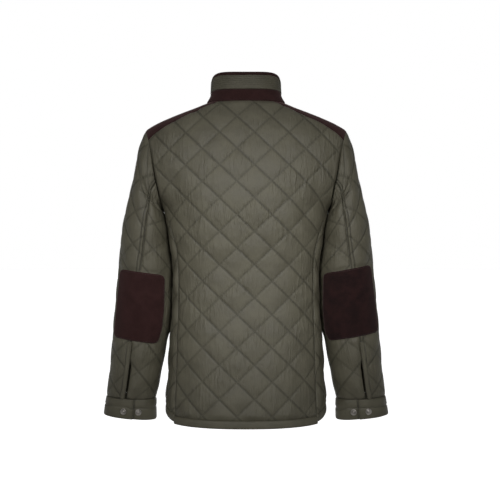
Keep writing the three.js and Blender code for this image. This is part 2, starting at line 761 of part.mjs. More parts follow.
const backNeckTurns = columnsBetween(-YOKE_BACK.neckX, YOKE_BACK.neckX, BACK_SHIFT)
  .map(({ u }) => Math.asin(u / NECK_HALF));

function backNeckRow() {
  const corner = moved(neckPoint(NECK_BACK_TURN), backEdgeShift(0), -HALF_GAP);
  const end = {
    u: YOKE_BACK.neckX, outer: corner, inner: moved(corner, outAtPlace(corner), -PADDED_WALL), kept: true,
  };
  const middle = backNeckTurns.map((turn) => {
    const place = neckPoint(turn);
    const inner = moved(place, outAtPlace(place), -PADDED_WALL);
    return { u: place.x, outer: place.clone(), inner, kept: true };
  });
  return [{ ...flipped(end), kept: true }, ...middle, end];
}

function backPanel() {
  return wallOf([...backLevels.map(({ z, j }) => backRow(z, j)), backNeckRow()]);
}

// Fronts: measured from the centre front towards the side seam

const FRONT_MEETING = 0.25;

function frontRowEnd(z) {
  if (z <= UNDERARM) return sideAngle(z);
  if (z <= YOKE_FRONT_ARM_Z) return armBodyAngle(-armholeAngle(z));
  return Math.PI - angleOfX(yokeFrontX(z), z);
}

const frontLength = (angle, z) => girthTo(Math.PI, z) - girthTo(angle, z);
const frontAngle = (length, z) => angleOfGirth(girthTo(Math.PI, z) - length, z);

function frontEndVertex(z) {
  const u = frontLength(frontRowEnd(z), z);
  if (z === UNDERARM) {
    return { u, ...armVertex(Math.PI, -1, PADDED_WALL, vector(0, -HALF_GAP, 0)) };
  }
  if (z < UNDERARM) {
    const angle = frontAngle(u - HALF_GAP, z);
    const outer = bodyPoint(angle, z);
    return { u: u - HALF_GAP, outer, inner: moved(outer, bodyOut(angle, z), -PADDED_WALL) };
  }
  if (z <= YOKE_FRONT_ARM_Z) {
    const last = yokeFrontLevels.length - 1;
    const corner = z === YOKE_FRONT_ARM_Z ? frontEdgeShift(last).multiplyScalar(-HALF_GAP) : null;
    return { u, ...armVertex(-armholeAngle(z), -1, PADDED_WALL, corner) };
  }
  const k = yokeFrontLevels.indexOf(z);
  const outer = moved(yokeFrontPoint(z), frontEdgeShift(k), -HALF_GAP);
  return { u, outer, inner: moved(outer, outAtPlace(outer), -PADDED_WALL) };
}

const NECK_CENTRE_Z = neckPoint(Math.PI).z;

// Angle round the neckline at which its front lies at a given level.
function neckTurnOfLevel(z) {
  return rootOf((turn) => z - neckPoint(turn).z, NECK_FRONT_TURN, Math.PI);
}

function frontStart(z) {
  if (z <= NECK_CENTRE_Z) return null;
  return neckPoint(z >= YOKE_FRONT_NECK_Z ? NECK_FRONT_TURN : neckTurnOfLevel(z));
}

function frontStartLength(z) {
  const neck = frontStart(z);
  return neck ? frontLength(angleOfPlan(neck.x, neck.y, z), z) : FRONT_MEETING;
}

function frontLift(u, z) {
  const angle = frontAngle(u, z);
  const fromSeam = frontLength(frontRowEnd(z), z) - u;
  const fromHem = z - frontHem(angle) - BAND_HEIGHT;
  const fromEdge = Math.min(fromSeam, u - PLACKET.fade, fromHem, u - frontStartLength(z));
  return bodyPuff(u - FRONT_SHIFT, z - QUILT_LEVEL, z, fromEdge, angle);
}

function frontRow(z, j) {
  const keptRow = bodyKeptRow(j);
  const end = { ...frontEndVertex(z), kept: keptRow };
  const startU = frontStartLength(z);
  const startAngle = frontAngle(startU, z);
  const outer = z > NECK_CENTRE_Z ? frontStart(z).clone() : plainBodyPoint(startAngle, z);
  const inner = moved(outer, bodyOut(startAngle, z), -PADDED_WALL);
  const columns = columnsBetween(startU, end.u, FRONT_SHIFT);
  const middle = paddedColumns(columns, z, j, FRONT_SHIFT, frontLift)
    .map((place) => paddedVertex(place, frontAngle(place.u, z), z, keptRow));
  return [{ u: startU, outer, inner, kept: keptRow }, ...middle, end];
}

// The fronts' hem falls from the side of the body to the side seam.
function frontHem(angle) {
  const seam = sideAngle(FRONT_HEM_AT_SEAM);
  const share = smooth((angle - seam) / (Math.PI / 2 - seam));
  return FRONT_HEM_AT_SEAM + (FRONT_HEM_LEVEL - FRONT_HEM_AT_SEAM) * share;
}

const FRONT_GRID = { lowest: -25, highest: 9 };
const frontLevels = levelsOf(FRONT_GRID.lowest, FRONT_GRID.highest, YOKE_FRONT_ARM_Z);

// Places along the hem of a front: the centre, the grid's columns and the side seam.
function frontHemStops() {
  const level = FRONT_HEM_LEVEL + BAND_HEIGHT;
  const end = frontLength(sideAngle(level), level) - HALF_GAP;
  const columns = columnsBetween(FRONT_MEETING, end, FRONT_SHIFT)
    .map(({ u }) => ({ angle: frontAngle(u, level) }));
  return [{ angle: frontAngle(FRONT_MEETING, level) }, ...columns, { side: true }];
}

// A point on the body a given height above the fronts' hem.
function overFrontHem(stop, height) {
  if (stop.side) {
    const z = FRONT_HEM_AT_SEAM + height;
    const angle = frontAngle(frontLength(sideAngle(z), z) - HALF_GAP, z);
    return { angle, z };
  }
  return { angle: stop.angle, z: frontHem(stop.angle) + height };
}

function frontBottomRow() {
  return frontHemStops().map((stop) => {
    const { angle, z } = overFrontHem(stop, BAND_HEIGHT + HALF_GAP);
    const outer = bodyPoint(angle, z);
    const inner = moved(outer, bodyOut(angle, z), -PADDED_WALL);
    return { u: frontLength(angle, z), outer, inner, kept: true };
  });
}

function frontPanel() {
  const rows = frontLevels.map(({ z, j }) => frontRow(z, j));
  const between = frontRow(yokeFrontLevels[1]);
  const apexEnd = frontEndVertex(YOKE_FRONT_NECK_Z);
  const apex = [{ ...apexEnd, kept: true }];
  return wallOf([frontBottomRow(), ...rows, between, apex]);
}

// Yokes: plain brown pieces over the shoulders, between the back and the fronts

function coons(edges, s, t) {
  const { near, far, left, right } = edges;
  const blend = (a, b, share) => a.clone().lerp(b, share);
  const corners = blend(blend(near.first, near.last, s), blend(far.first, far.last, s), t);
  return blend(near.at, far.at, t).add(blend(left, right, s)).sub(corners);
}

function neckYokeTurn(m) {
  return NECK_BACK_TURN + ((NECK_FRONT_TURN - NECK_BACK_TURN) * m) / (YOKE_COLUMNS - 1);
}

function armYokeTurn(m) {
  const from = armholeAngle(YOKE_BACK_ARM_Z);
  const to = -armholeAngle(YOKE_FRONT_ARM_Z);
  return from + ((to - from) * m) / (YOKE_COLUMNS - 1);
}

function yokeVertex(k, m) {
  const last = yokeBackLevels.length - 1;
  const lastColumn = YOKE_COLUMNS - 1;
  const shift = vector(0, 0, 0);
  if (m === 0) shift.addScaledVector(backEdgeShift(k), HALF_GAP);
  if (m === lastColumn) shift.addScaledVector(frontEdgeShift(k), HALF_GAP);
  if (k === last) return armVertex(armYokeTurn(m), -1, YOKE_WALL, shift);
  let place;
  if (m === 0) place = yokeBackPoint(yokeBackLevels[k]);
  else if (m === lastColumn) place = yokeFrontPoint(yokeFrontLevels[k]);
  else if (k === 0) place = neckPoint(neckYokeTurn(m)).clone();
  else {
    const near = { first: yokeBackPoint(yokeBackLevels[0]), last: yokeBackPoint(yokeBackLevels[last]) };
    const far = { first: yokeFrontPoint(yokeFrontLevels[0]), last: yokeFrontPoint(yokeFrontLevels[last]) };
    near.at = yokeBackPoint(yokeBackLevels[k]);
    far.at = yokeFrontPoint(yokeFrontLevels[k]);
    const s = ((near.at.x - near.first.x) / (near.last.x - near.first.x)
      + (far.at.x - far.first.x) / (far.last.x - far.first.x)) / 2;
    const edges = { near, far, left: neckPoint(neckYokeTurn(m)), right: armPoint(armYokeTurn(m)) };
    const plan = coons(edges, s, m / lastColumn);
    place = vector(plan.x, plan.y, shoulderLevel(plan.x, plan.y));
  }
  const outer = place.add(shift);
  return { outer, inner: moved(outer, outAtPlace(place), -YOKE_WALL) };
}

function yoke() {
  const rows = yokeBackLevels.map((level, k) => {
    const columns = Array.from({ length: YOKE_COLUMNS }, (unused, m) => m);
    return columns.map((m) => ({ u: m, kept: true, ...yokeVertex(k, m) }));
  });
  return wallOf(rows);
}

// Hem bands: a folded strip below the back and below each front

const bandOutline = [[0, 0], [1, 0], [1, 0.55], [1, 1], [0, 1]];
const BAND_LIFT = 0.9;
const BAND_BULGE = 2;

function bandStation(placeAt, bottom, top) {
  return bandOutline.map(([out, up]) => {
    const { angle, z } = placeAt(bottom + (top - bottom) * up);
    const bulge = BAND_BULGE * out * up * (1 - up);
    return moved(plainBodyPoint(angle, z), bodyOut(angle, z), (out - 1) * BAND_WALL + BAND_LIFT * out + bulge);
  });
}

function backBand() {
  const level = PANEL_BOTTOM;
  const end = girthTo(sideAngle(level), level) - HALF_GAP;
  const columns = columnsBetween(-end, end, BACK_SHIFT).map(({ u }) => ({ u }));
  const stops = [{ side: -1 }, ...columns, { side: 1 }];
  const stations = stops.map((stop) => bandStation((z) => {
    if (stop.side) return { angle: stop.side * angleOfGirth(girthTo(sideAngle(z), z) - HALF_GAP, z), z };
    return { angle: angleOfGirth(stop.u, z), z };
  }, HEM_LEVEL, HEM_LEVEL + BAND_HEIGHT - HALF_GAP));
  return sweptOf(stations, bandOutline);
}

function frontBand() {
  const stations = frontHemStops().map((stop) => bandStation(
    (height) => overFrontHem(stop, height), 0, BAND_HEIGHT - HALF_GAP));
  return sweptOf(stations, bandOutline);
}

// Front placket: a flat strip over the meeting fronts

function placket() {
  const rows = [];
  const across = [-1, -0.5, 0, 0.5, 1];
  const levels = [PLACKET.bottom, ...frontLevels.filter(({ j, z }) => j !== undefined && z < PLACKET.top)
    .map(({ z }) => z), PLACKET.top];
  for (const z of levels) {
    rows.push(across.map((share) => {
      const angle = frontAngle(Math.abs(share) * PLACKET.half, z);
      const base = plainBodyPoint(angle, z);
      const out = bodyOut(angle, z);
      const side = share < 0 ? -1 : 1;
      if (share === 0) {
        base.x = 0;
        out.setX(0).normalize();
      }
      base.x *= side;
      out.x *= side;
      const inner = moved(base, out, PLACKET.lift);
      return { u: share, outer: moved(inner, out, PLACKET.wall), inner, kept: true };
    }));
  }
  return wallOf(rows);
}

// Collar: a brown stand, an olive upper part, and a brown facing that rolls over the top

const COLLAR_SEAT = 1;
const collarTop = (turn) => 40.25 + 32.5 * Math.cos(turn) - 11.75 * Math.cos(2 * turn);
const collarHalves = table(['share', 'half'], [[0, 92], [0.3, 82.5], [0.6, 80], [1, 77]]);

function collarPoint(turn, height) {
  const share = height / COLLAR.height;
  const foot = neckPoint(turn);
  const ease = smooth(share / 0.6);
  const fullBack = NECK_BACK + (COLLAR.back - NECK_BACK) * ease;
  const fullFront = NECK_FRONT + (COLLAR.front - NECK_FRONT) * share;
  const x = through(collarHalves, 'share', share, 'half') * Math.sin(turn);
  const y = (Math.cos(turn) > 0 ? fullBack : fullFront) * Math.cos(turn);
  return vector(x, y, foot.z + COLLAR_SEAT + (collarTop(turn) - foot.z - COLLAR_SEAT) * share);
}

const COLLAR_LITTLE = 0.02;
const COLLAR_RISE = 0.5;

// Direction out of the collar, turned towards level so that its roll doesn't lean.
function collarOut(turn, height) {
  const round = collarPoint(turn + COLLAR_LITTLE, height).sub(collarPoint(turn - COLLAR_LITTLE, height));
  const up = collarPoint(turn, height + 2).sub(collarPoint(turn, height));
  const out = up.cross(round);
  out.z *= COLLAR_RISE;
  return out.normalize();
}

const TURN_LEAST = 0.001;
const COLLAR_END = Math.PI - Math.asin(FRONT_MEETING / NECK_HALF);

function collarTurns() {
  const back = backNeckTurns.filter((turn) => turn > TURN_LEAST);
  const side = Array.from({ length: YOKE_COLUMNS }, (unused, m) => neckYokeTurn(m));
  const front = [neckTurnOfLevel(yokeFrontLevels[1]), neckTurnOfLevel(gridLevel(9))];
  const half = [...back, ...side, ...front, COLLAR_END];
  return [...half.map((turn) => -turn).reverse(), 0, ...half];
}

function collarPiece(outline) {
  const stations = collarTurns().map((turn) => outline.map(([out, height]) => {
    const sign = turn < 0 ? -1 : 1;
    const place = moved(collarPoint(Math.abs(turn), height), collarOut(Math.abs(turn), height), out);
    if (Math.abs(turn) > COLLAR_END - TURN_LEAST) place.x = FRONT_MEETING;
    if (turn === 0) place.x = 0;
    place.x *= sign;
    return place;
  }));
  return sweptOf(stations, outline);
}

// Outlines across the collar: distance out from its middle surface, and height up it.
const { wall: collarWall, split, upperTop } = COLLAR;
const COLLAR_LEVELS = { low: 8, high: 17, middle: 40, upper: upperTop - 6 };
const standOutline = [[-collarWall, 0], [0, 0], [0.2, COLLAR_LEVELS.low], [0.2, COLLAR_LEVELS.high], [0, split],
  [-collarWall, split], [-collarWall, COLLAR_LEVELS.high], [-collarWall, COLLAR_LEVELS.low]];
const upperOutline = [[-collarWall, split + SEAM_GAP], [0.5, split + SEAM_GAP], [0.9, split + 2.5],
  [1.1, COLLAR_LEVELS.middle], [0, COLLAR_LEVELS.upper], [0, upperTop], [-collarWall, upperTop],
  [-collarWall, COLLAR_LEVELS.middle]];
const FACING_WALL = 1.7;
const FACING = { outer: -collarWall - SEAM_GAP, inner: -collarWall - SEAM_GAP - FACING_WALL, foot: 3 };
const facingOutline = [[FACING.inner, FACING.foot], [FACING.outer, FACING.foot],
  [FACING.outer, COLLAR_LEVELS.low], [FACING.outer, COLLAR_LEVELS.high], [FACING.outer, split],
  [FACING.outer, COLLAR_LEVELS.middle], [FACING.outer, upperTop + SEAM_GAP], [0.3, upperTop + SEAM_GAP],
  [0.3, upperTop - 4.2], [1.6, upperTop - 3.9], [1.7, upperTop + 1], [0.3, upperTop + 2.8],
  [-2.4, upperTop + 2.9], [FACING.inner, upperTop + 1.2], [FACING.inner, COLLAR_LEVELS.middle],
  [FACING.inner, split], [FACING.inner, COLLAR_LEVELS.high], [FACING.inner, COLLAR_LEVELS.low]];

// Sleeves

const armTurnsOf = (levels, corner) => levels.map(({ z }) => z)
  .filter((z) => z > UNDERARM && z < corner).map(armholeAngle);
const armTurns = {
  back: armTurnsOf(backLevels, YOKE_BACK_ARM_Z),
  front: armTurnsOf(frontLevels, YOKE_FRONT_ARM_Z),
  yoke: Array.from({ length: YOKE_COLUMNS }, (unused, m) => armYokeTurn(m)),
};
const SEAM_START_ROWS = { back: 2, front: 3 };
const BACK_SEAM_START = armholeAngle(gridLevel(SEAM_START_ROWS.back));
const FRONT_SEAM_START = -armholeAngle(gridLevel(SEAM_START_ROWS.front));

function backSeamTurn(v) {
  if (v === 0) return BACK_SEAM_START;
  return radians(through(sleeveSeams, 'v', v, 'back'));
}

const frontSeamTurn = (v) => (v === 0 ? FRONT_SEAM_START : radians(FRONT_SLEEVE_SEAM));

// Distance outside the elbow patch, less than zero under it.
function outsidePatch(v, turn) {
  const length = lengthOfTurn(turn, v);
  const before = lengthOfTurn(radians(PATCH.from), v) - length;
  const after = length - lengthOfTurn(radians(PATCH.to), v);
  return Math.max(PATCH.top - v, v - PATCH.bottom, before, after);
}

// Height of a sleeve's padding, less under the patch, beside the body and in the crumpled underarm.
function sleevePuff(v, turn, u, fromSeam) {
  const clear = smooth((outsidePatch(v, turn) - PATCH.margin) / PUFF_FADE);
  const ends = smooth(Math.min(v, SLEEVE_END - v, fromSeam) / PUFF_FADE);
  const inward = (1 - Math.cos(turn)) / 2;
  const rest = SLEEVE_REST;
  const crumple = SLEEVE_CRUMPLE;
  const besideBody = smooth((inward - rest.from) / rest.over) * smooth((v - rest.start) / rest.blend);
  const head = 1 - smooth((v - crumple.full) / crumple.blend);
  const crumpled = crumple.flat * smooth((inward - crumple.from) / crumple.over) * head;
  return puffAt(u, v) * clear * ends * (1 - PRESSED * besideBody) * (1 - crumpled);
}

// The inner skin keeps every second row near the armhole, and every fourth one below.
const SLEEVE_HEAD_ROWS = 8;
const sleeveKeptRow = (j) => j === undefined || j % (j <= SLEEVE_HEAD_ROWS ? 2 : 4) === 0;

// One row across a sleeve piece, from one seam to the other.
function sleeveRow(v, j, from, to, origin) {
  const low = lengthOfTurn(from, v) + HALF_GAP;
  const high = lengthOfTurn(to, v) - HALF_GAP;
  const shift = lengthOfTurn(origin, v);
  const keptRow = sleeveKeptRow(j);
  const vertexAt = (length, extra) => {
    const turn = turnOfLength(length, v);
    const base = sleevePoint(v, turn);
    const out = sleeveOut(v, turn);
    const u = length - shift;
    const fromSeam = Math.min(length - low, high - length);
    const outer = moved(base, out, extra.i === undefined ? 0 : sleevePuff(v, turn, u, fromSeam));
    return { u, outer, inner: moved(base, out, -PADDED_WALL), kept: keptRow, ...extra };
  };
  const middle = columnsBetween(low, high, shift).map(({ i, u }) => vertexAt(u, { i, j }));
  return [vertexAt(low, {}), ...middle, vertexAt(high, {})];
}

// The row on the armhole, through the stops that the body pieces have there.
function armRow(turns, origin) {
  return turns.map((turn, k) => {
    const end = k === 0 || k === turns.length - 1;
    const shift = end ? roundSleeve(0, turn).setLength(HALF_GAP) : null;
    if (k > 0 && shift) shift.negate();
    const corner = armVertex(turn > Math.PI ? turn - 2 * Math.PI : turn, 1, PADDED_WALL, shift);
    return { u: lengthOfTurn(turn, 0) - lengthOfTurn(origin, 0), ...corner, kept: true };
  });
}

const sleeveLevels = [];
for (let j = 1; j * STEP < SLEEVE_END - SKIP_NEAR_EDGE; j += 1) sleeveLevels.push({ v: j * STEP, j });
sleeveLevels.push({ v: SLEEVE_END });

function topSleeve() {
  const turns = [...armTurns.back.filter((turn) => turn <= BACK_SEAM_START + TURN_LEAST), ...armTurns.yoke,
    ...armTurns.front.map((turn) => -turn).filter((turn) => turn >= FRONT_SEAM_START - TURN_LEAST)];
  turns.sort((a, b) => a - b);
  const rows = sleeveLevels.map(({ v, j }) => sleeveRow(v, j, frontSeamTurn(v), backSeamTurn(v), 0));
  return wallOf([armRow(turns, 0), ...rows]);
}

function underSleeve() {
  const full = 2 * Math.PI;
  const turns = [...armTurns.back.filter((turn) => turn >= BACK_SEAM_START - TURN_LEAST), Math.PI,
    ...armTurns.front.filter((turn) => -turn <= FRONT_SEAM_START + TURN_LEAST).map((turn) => full - turn)];
  turns.sort((a, b) => a - b);
  const rows = sleeveLevels.map(({ v, j }) => sleeveRow(v, j, backSeamTurn(v), frontSeamTurn(v) + full, Math.PI));
  return wallOf([armRow(turns, Math.PI), ...rows]);
}

// A strip or patch that lies on a sleeve, from its rows of turns.
function sleeveOverlay(rows, lift, wall) {
  return wallOf(rows.map(({ v, turns }) => turns.map((turn) => {
    const inner = moved(sleevePoint(v, turn), sleeveOut(v, turn), lift);
    return { u: turn, inner, outer: moved(inner, sleeveOut(v, turn), wall), kept: true };
  })));
}

function elbowPatch() {
  const { corner } = PATCH;
  const round = corner * (1 - Math.SQRT1_2);
  const ends = [[0, corner], [round, round], [corner, 0]];
  const length = PATCH.bottom - PATCH.top;
  const inside = Math.round((length - 2 * corner) / STEP);
  const middle = Array.from({ length: inside - 1 }, (unused, k) => [
    corner + ((length - 2 * corner) * (k + 1)) / inside, 0]);
  const lower = ends.map(([down, aside]) => [length - down, aside]).reverse();
  const shares = Array.from({ length: PATCH.columns }, (unused, k) => k / (PATCH.columns - 1));
  const rows = [...ends, ...middle, ...lower].map(([down, aside]) => {
    const v = PATCH.top + down;
    const low = lengthOfTurn(radians(PATCH.from), v) + aside;
    const high = lengthOfTurn(radians(PATCH.to), v) - aside;
    return { v, turns: shares.map((share) => turnOfLength(low + (high - low) * share, v)) };
  });
  return sleeveOverlay(rows, PATCH.lift, PATCH.wall);
}

function ventStrip() {
  const levels = [VENT.top, ...sleeveLevels.map(({ v }) => v).filter((v) => v > VENT.top + VENT.clear)];
  const rows = levels.map((v) => {
    const high = lengthOfTurn(backSeamTurn(v), v) - 2 * HALF_GAP;
    return { v, turns: [1, 0.5, 0].map((share) => turnOfLength(high - share * VENT.width, v)) };
  });
  return sleeveOverlay(rows, VENT.lift, VENT.wall);
}

// Cuffs: one strip round the wrist whose last part tucks under its first

const CUFF_STATIONS = 32;
const cuffOutline = [[0, CUFF.start], [1, CUFF.start], [1, CUFF.crease - CUFF_CREASE.half],
  [CUFF_CREASE.out, CUFF.crease], [1, CUFF.crease + CUFF_CREASE.half], [1, CUFF.end], [0, CUFF.end]];

const cuffSink = (turned) => CUFF.tuck * smooth((turned - CUFF_TUCK.from) / CUFF_TUCK.over);

function cuffPlace(turned, v, out) {
  const turn = radians(CUFF.edge - turned);
  const level = Math.min(v, CUFF.end);
  const place = ringPoint(level, turn);
  const lift = CUFF.proud - cuffSink(turned) + (out - 1) * CUFF.wall;
  return moved(place, sleeveOut(level - 1, turn), lift);
}

function cuff() {
  const stations = Array.from({ length: CUFF_STATIONS + 1 }, (unused, k) => {
    const turned = (CUFF.turn * k) / CUFF_STATIONS;
    return cuffOutline.map(([out, v]) => cuffPlace(turned, v, out));
  });
  return sweptOf(stations, cuffOutline);
}

// Snaps: low domed buttons

function snapAt(place, out) {
  const { radius, height, sides, lift } = SNAP;
  const profile = SNAP_PROFILE.map(([across, up]) => new THREE.Vector2(across * radius, up * height));
  const shape = new THREE.LatheGeometry(profile, sides);
  shape.rotateX(Math.PI / 2);
  shape.applyQuaternion(new THREE.Quaternion().setFromUnitVectors(vector(0, 0, 1), out));
  const seat = moved(place, out, lift);
  shape.translate(seat.x, seat.y, seat.z);
  return shape;
}

const FULL_TURN = 360;

function cuffSnap(angle) {
  const turned = CUFF.edge - angle;
  const { level, reach } = CUFF_SNAP;
  const place = (round, v) => cuffPlace(round < 0 ? round + FULL_TURN : round, v, 1);
  const across = place(turned + reach, level).sub(place(turned - reach, level));
  const along = place(turned, level + reach).sub(place(turned, level - reach));
  const out = across.cross(along).normalize();
  return snapAt(place(turned, level), out);
}

function frontSnap(k) {
  const z = FRONT_SNAPS.top - k * FRONT_SNAPS.apart;
  const out = bodyOut(Math.PI - TURN_LEAST, z).setX(0).normalize();
  const place = plainBodyPoint(Math.PI, z).setX(0);
  return snapAt(moved(place, out, PLACKET.lift + PLACKET.wall), out);
}

// The jacket

const jacket = new THREE.Group();

function addPiece(name, geometry, finish) {
  const mesh = new THREE.Mesh(geometry, new THREE.MeshStandardMaterial(finish));
  mesh.name = name;
  jacket.add(mesh);
}

function addPair(name, geometry, finish) {
  addPiece(`${name}_left`, geometry, finish);
  addPiece(`${name}_right`, mirrored(geometry), finish);
}

addPiece('back_panel', backPanel(), OLIVE);
addPair('front', frontPanel(), OLIVE);
addPair('yoke', yoke(), BROWN);
addPiece('hem_band_back', backBand(), OLIVE);
addPair('hem_band', frontBand(), OLIVE);
addPiece('front_placket', placket(), OLIVE);
addPiece('collar_stand', collarPiece(standOutline), BROWN);
addPiece('collar_upper', collarPiece(upperOutline), OLIVE);
addPiece('collar_facing', collarPiece(facingOutline), BROWN);
addPair('sleeve_top', topSleeve(), OLIVE);
addPair('sleeve_under', underSleeve(), OLIVE);
addPair('elbow_patch', elbowPatch(), BROWN);
addPair('vent_strip', ventStrip(), OLIVE);
addPair('cuff', cuff(), OLIVE);
CUFF_SNAP.angles.forEach((angle, k) => addPair(`cuff_snap_${k + 1}`, cuffSnap(angle), GUNMETAL));
for (let k = 0; k < FRONT_SNAPS.count; k += 1) addPiece(`front_snap_${k + 1}`, frontSnap(k), GUNMETAL);

export default jacket;
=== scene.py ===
"""A quilted hip-length jacket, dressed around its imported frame: shells, stitching, snaps and cloth."""

import math
from functools import partial

import bmesh
import bpy
import numpy as np
from bpy.props import FloatProperty, FloatVectorProperty, PointerProperty
from mathutils import Matrix, Vector
from mathutils.bvhtree import BVHTree


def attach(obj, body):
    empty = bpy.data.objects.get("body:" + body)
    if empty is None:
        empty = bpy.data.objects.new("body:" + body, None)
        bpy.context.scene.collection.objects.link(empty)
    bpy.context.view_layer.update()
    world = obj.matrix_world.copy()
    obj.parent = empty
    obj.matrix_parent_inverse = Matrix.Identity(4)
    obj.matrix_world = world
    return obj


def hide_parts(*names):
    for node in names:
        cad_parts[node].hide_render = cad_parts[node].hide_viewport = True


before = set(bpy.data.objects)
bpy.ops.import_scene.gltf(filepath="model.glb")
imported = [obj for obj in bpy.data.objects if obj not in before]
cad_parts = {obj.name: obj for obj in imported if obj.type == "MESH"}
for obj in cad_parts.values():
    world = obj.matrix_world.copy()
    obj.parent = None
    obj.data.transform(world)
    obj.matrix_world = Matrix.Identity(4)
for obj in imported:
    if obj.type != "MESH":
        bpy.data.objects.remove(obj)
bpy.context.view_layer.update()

bl_info = {
    "name": "Quilted Jacket",
    "version": (1, 0, 0),
    "blender": (4, 5, 0),
    "location": "View3D > Sidebar > Jacket",
    "description": "Builds the cloth, stitching and snaps of a quilted jacket",
    "category": "Object",
}

MM = 0.001
BODY = "root"

# Quilting: lines at 45 degrees both ways, and the grid that the cloth's vertices stand on.
LINES_APART = 52.0
DIAMOND = LINES_APART * math.sqrt(2)
STEP = DIAMOND / 4
FINE = STEP / 6
QUILT_LEVEL = -228.2
BACK_ACROSS = 1.05

# Body, in millimetres from the point between the shoulders, with y to the back.
HEM_LEVEL = -733.0
BAND_HEIGHT = 18.0
FRONT_HEM_AT_SEAM = -728.0
FRONT_HEM_LEVEL = -715.0
UNDERARM = QUILT_LEVEL - STEP
ARM_TOP = -66.0
ARM_MIDDLE = (ARM_TOP + UNDERARM) / 2
ARM_REACH = (ARM_TOP - UNDERARM) / 2
NECK_HALF, NECK_BACK, NECK_FRONT = 92.0, 60.0, 80.0
YOKE_NECK_X, YOKE_ARM_X = 62.5, 226.0
YOKE_FRONT_NECK_X, YOKE_FRONT_ARM_Z = 56.0, -112.0
DENT_REACH = 38.0

# Seams: half the gap between two cloths, how far a seam's shading reaches, how far in the padding takes to
# rise, how the cloth rolls down, and how far its edge is tucked under.
SEAM_HALF_GAP, SEAM_REACH, RISE = 0.15, 24.0, 11.0
ROLL_REACH, ROLL_DEPTH = 4.5, 1.3
TUCK, TUCK_DEPTH = 1.6, 1.2
# Share of the padding that the arm and the body press flat where they touch.
PRESSED_FLAT = 0.72
PADDED_WALL, YOKE_WALL, BAND_WALL, COLLAR_WALL, CUFF_WALL = 2.5, 2.0, 2.1, 1.9, 1.4

# Collar, sleeves and cuffs.
COLLAR_HEIGHT, COLLAR_SPLIT, COLLAR_UPPER_TOP, COLLAR_SEAT = 64.0, 27.0, 63.8, 1.0
COLLAR_BACK, COLLAR_FRONT = 54.0, 84.0
SLEEVE_END = 583.0
SLEEVE_BLEND = 60.0
CUFF_START, CUFF_END, CUFF_EDGE, CUFF_TURN, CUFF_TUCK = 583.4, 629.0, 100.0, 400.0, 3.2
PATCH_TOP, PATCH_BOTTOM, PATCH_CORNER = 284.0, 437.0, 13.0
VENT_WIDTH, VENT_TOP, VENT_OPEN = 10.0, 447.0, 4.2
VENT_SPLIT, VENT_EASE = 488.0, 16.0
FRONT_SLEEVE_SEAM = -100.7
DOUBLE_ROW = 7.0
COLLAR_ROWS, COLLAR_ROWS_FROM, COLLAR_ROWS_TO = 6, 32.8, 59.3
COLLAR_ROW_STEP = (COLLAR_ROWS_TO - COLLAR_ROWS_FROM) / COLLAR_ROWS
SIDES = {1: "left", -1: "right"}


def table(names, rows):
    """Named columns, each an array, in the order of the first one."""
    return dict(zip(names.split(), np.array(sorted(rows), float).T))


def named_rows(names, rows):
    """Rows with a name each, and named columns."""
    return {name: dict(zip(names.split(), row)) for name, row in rows.items()}


# Body outline at each level: half width, depth behind and before the side line, and squareness.
SECTIONS = table("z half back front square", [
    (12, 84, 48, 30, 2), (0, 92.5, 57, 36, 2), (-9, 111.5, 65, 43, 2), (-23, 148, 74, 53, 2),
    (-37, 182.5, 84, 63, 2), (-51, 213, 91.5, 72, 2), (-66, 236, 98, 80, 2), (-85, 249, 104, 88, 2.07),
    (-110, 254, 110, 97, 2.12), (-140, 251, 116, 108, 2.16), (-180, 238, 121, 119, 2.2),
    (-215, 216, 123, 125, 2.25), (-246.6, 193.5, 123, 127, 2.3), (-298, 187.5, 119.5, 126, 2.3),
    (-352, 179.5, 114, 122, 2.3), (-392, 176, 110.5, 119, 2.3), (-451, 177, 110, 118, 2.3),
    (-545, 178.5, 117, 121, 2.3), (-630, 180, 126, 125, 2.3), (-686, 185, 132, 127, 2.33),
    (-733, 188.5, 137, 129, 2.35)])
YOKE_LINE = table("x y", [(62.5, 44), (100, 48), (131, 55), (160, 57.5), (188, 57), (212, 54), (226, 50)])
DENTS = table("z deep", [(-243, 0), (-262, 4), (-290, 8), (-480, 8), (-520, 4), (-548, 0)])
ARMHOLES = table("z x", [
    (-66, 236), (-72, 231), (-85, 226), (-110, 219), (-131, 214), (-178, 206), (-202, 201), (-225, 197),
    (-236, 195.5), (-246.6, 193.5)])
SIDE_SEAMS = table("z x", [
    (-246.6, 193.5), (-255, 189.5), (-270, 183), (-290, 174.5), (-320, 164), (-352, 157), (-400, 154.5),
    (-451, 154.5), (-545, 156.5), (-630, 158), (-686, 159.5), (-733, 161)])
# Sleeve rings: distance along, outer and inner end of each ring, half depth, and its middle.
RINGS = table("v outX outZ inX inZ deep y", [
    (0, 236, -66, 193.5, -246.6, 64, 2), (35, 249.5, -108, 194, -252, 68, 2),
    (78, 258.5, -160, 188, -264, 70, 2), (131, 272.5, -220, 181.5, -290, 70, 2),
    (199, 288.5, -295, 177, -335, 66, 1), (275, 297, -376, 170.5, -395, 61, -1),
    (337, 303.5, -440, 171.3, -452, 57, -4), (366, 306.3, -469, 171.8, -480, 56, -5.5),
    (386, 308.3, -489, 174, -500, 55, -6.5), (414, 311, -517, 177.8, -528, 54, -8),
    (431, 312.5, -534, 183.5, -545, 53, -9), (487, 317.5, -590, 194.5, -600, 50, -12),
    (552, 324.5, -655, 207, -662, 46, -15), (583, 329.5, -686, 213, -692, 42.5, -16),
    (629, 336.5, -730, 213, -742, 40, -17)])
# Degrees round the sleeve to its back seam, at each distance down it.
SLEEVE_SEAMS = table("v back", [
    (0, 112.9), (60, 106), (110, 101), (150, 97), (200, 94.5), (240, 90), (290, 84), (360, 80), (583, 80)])
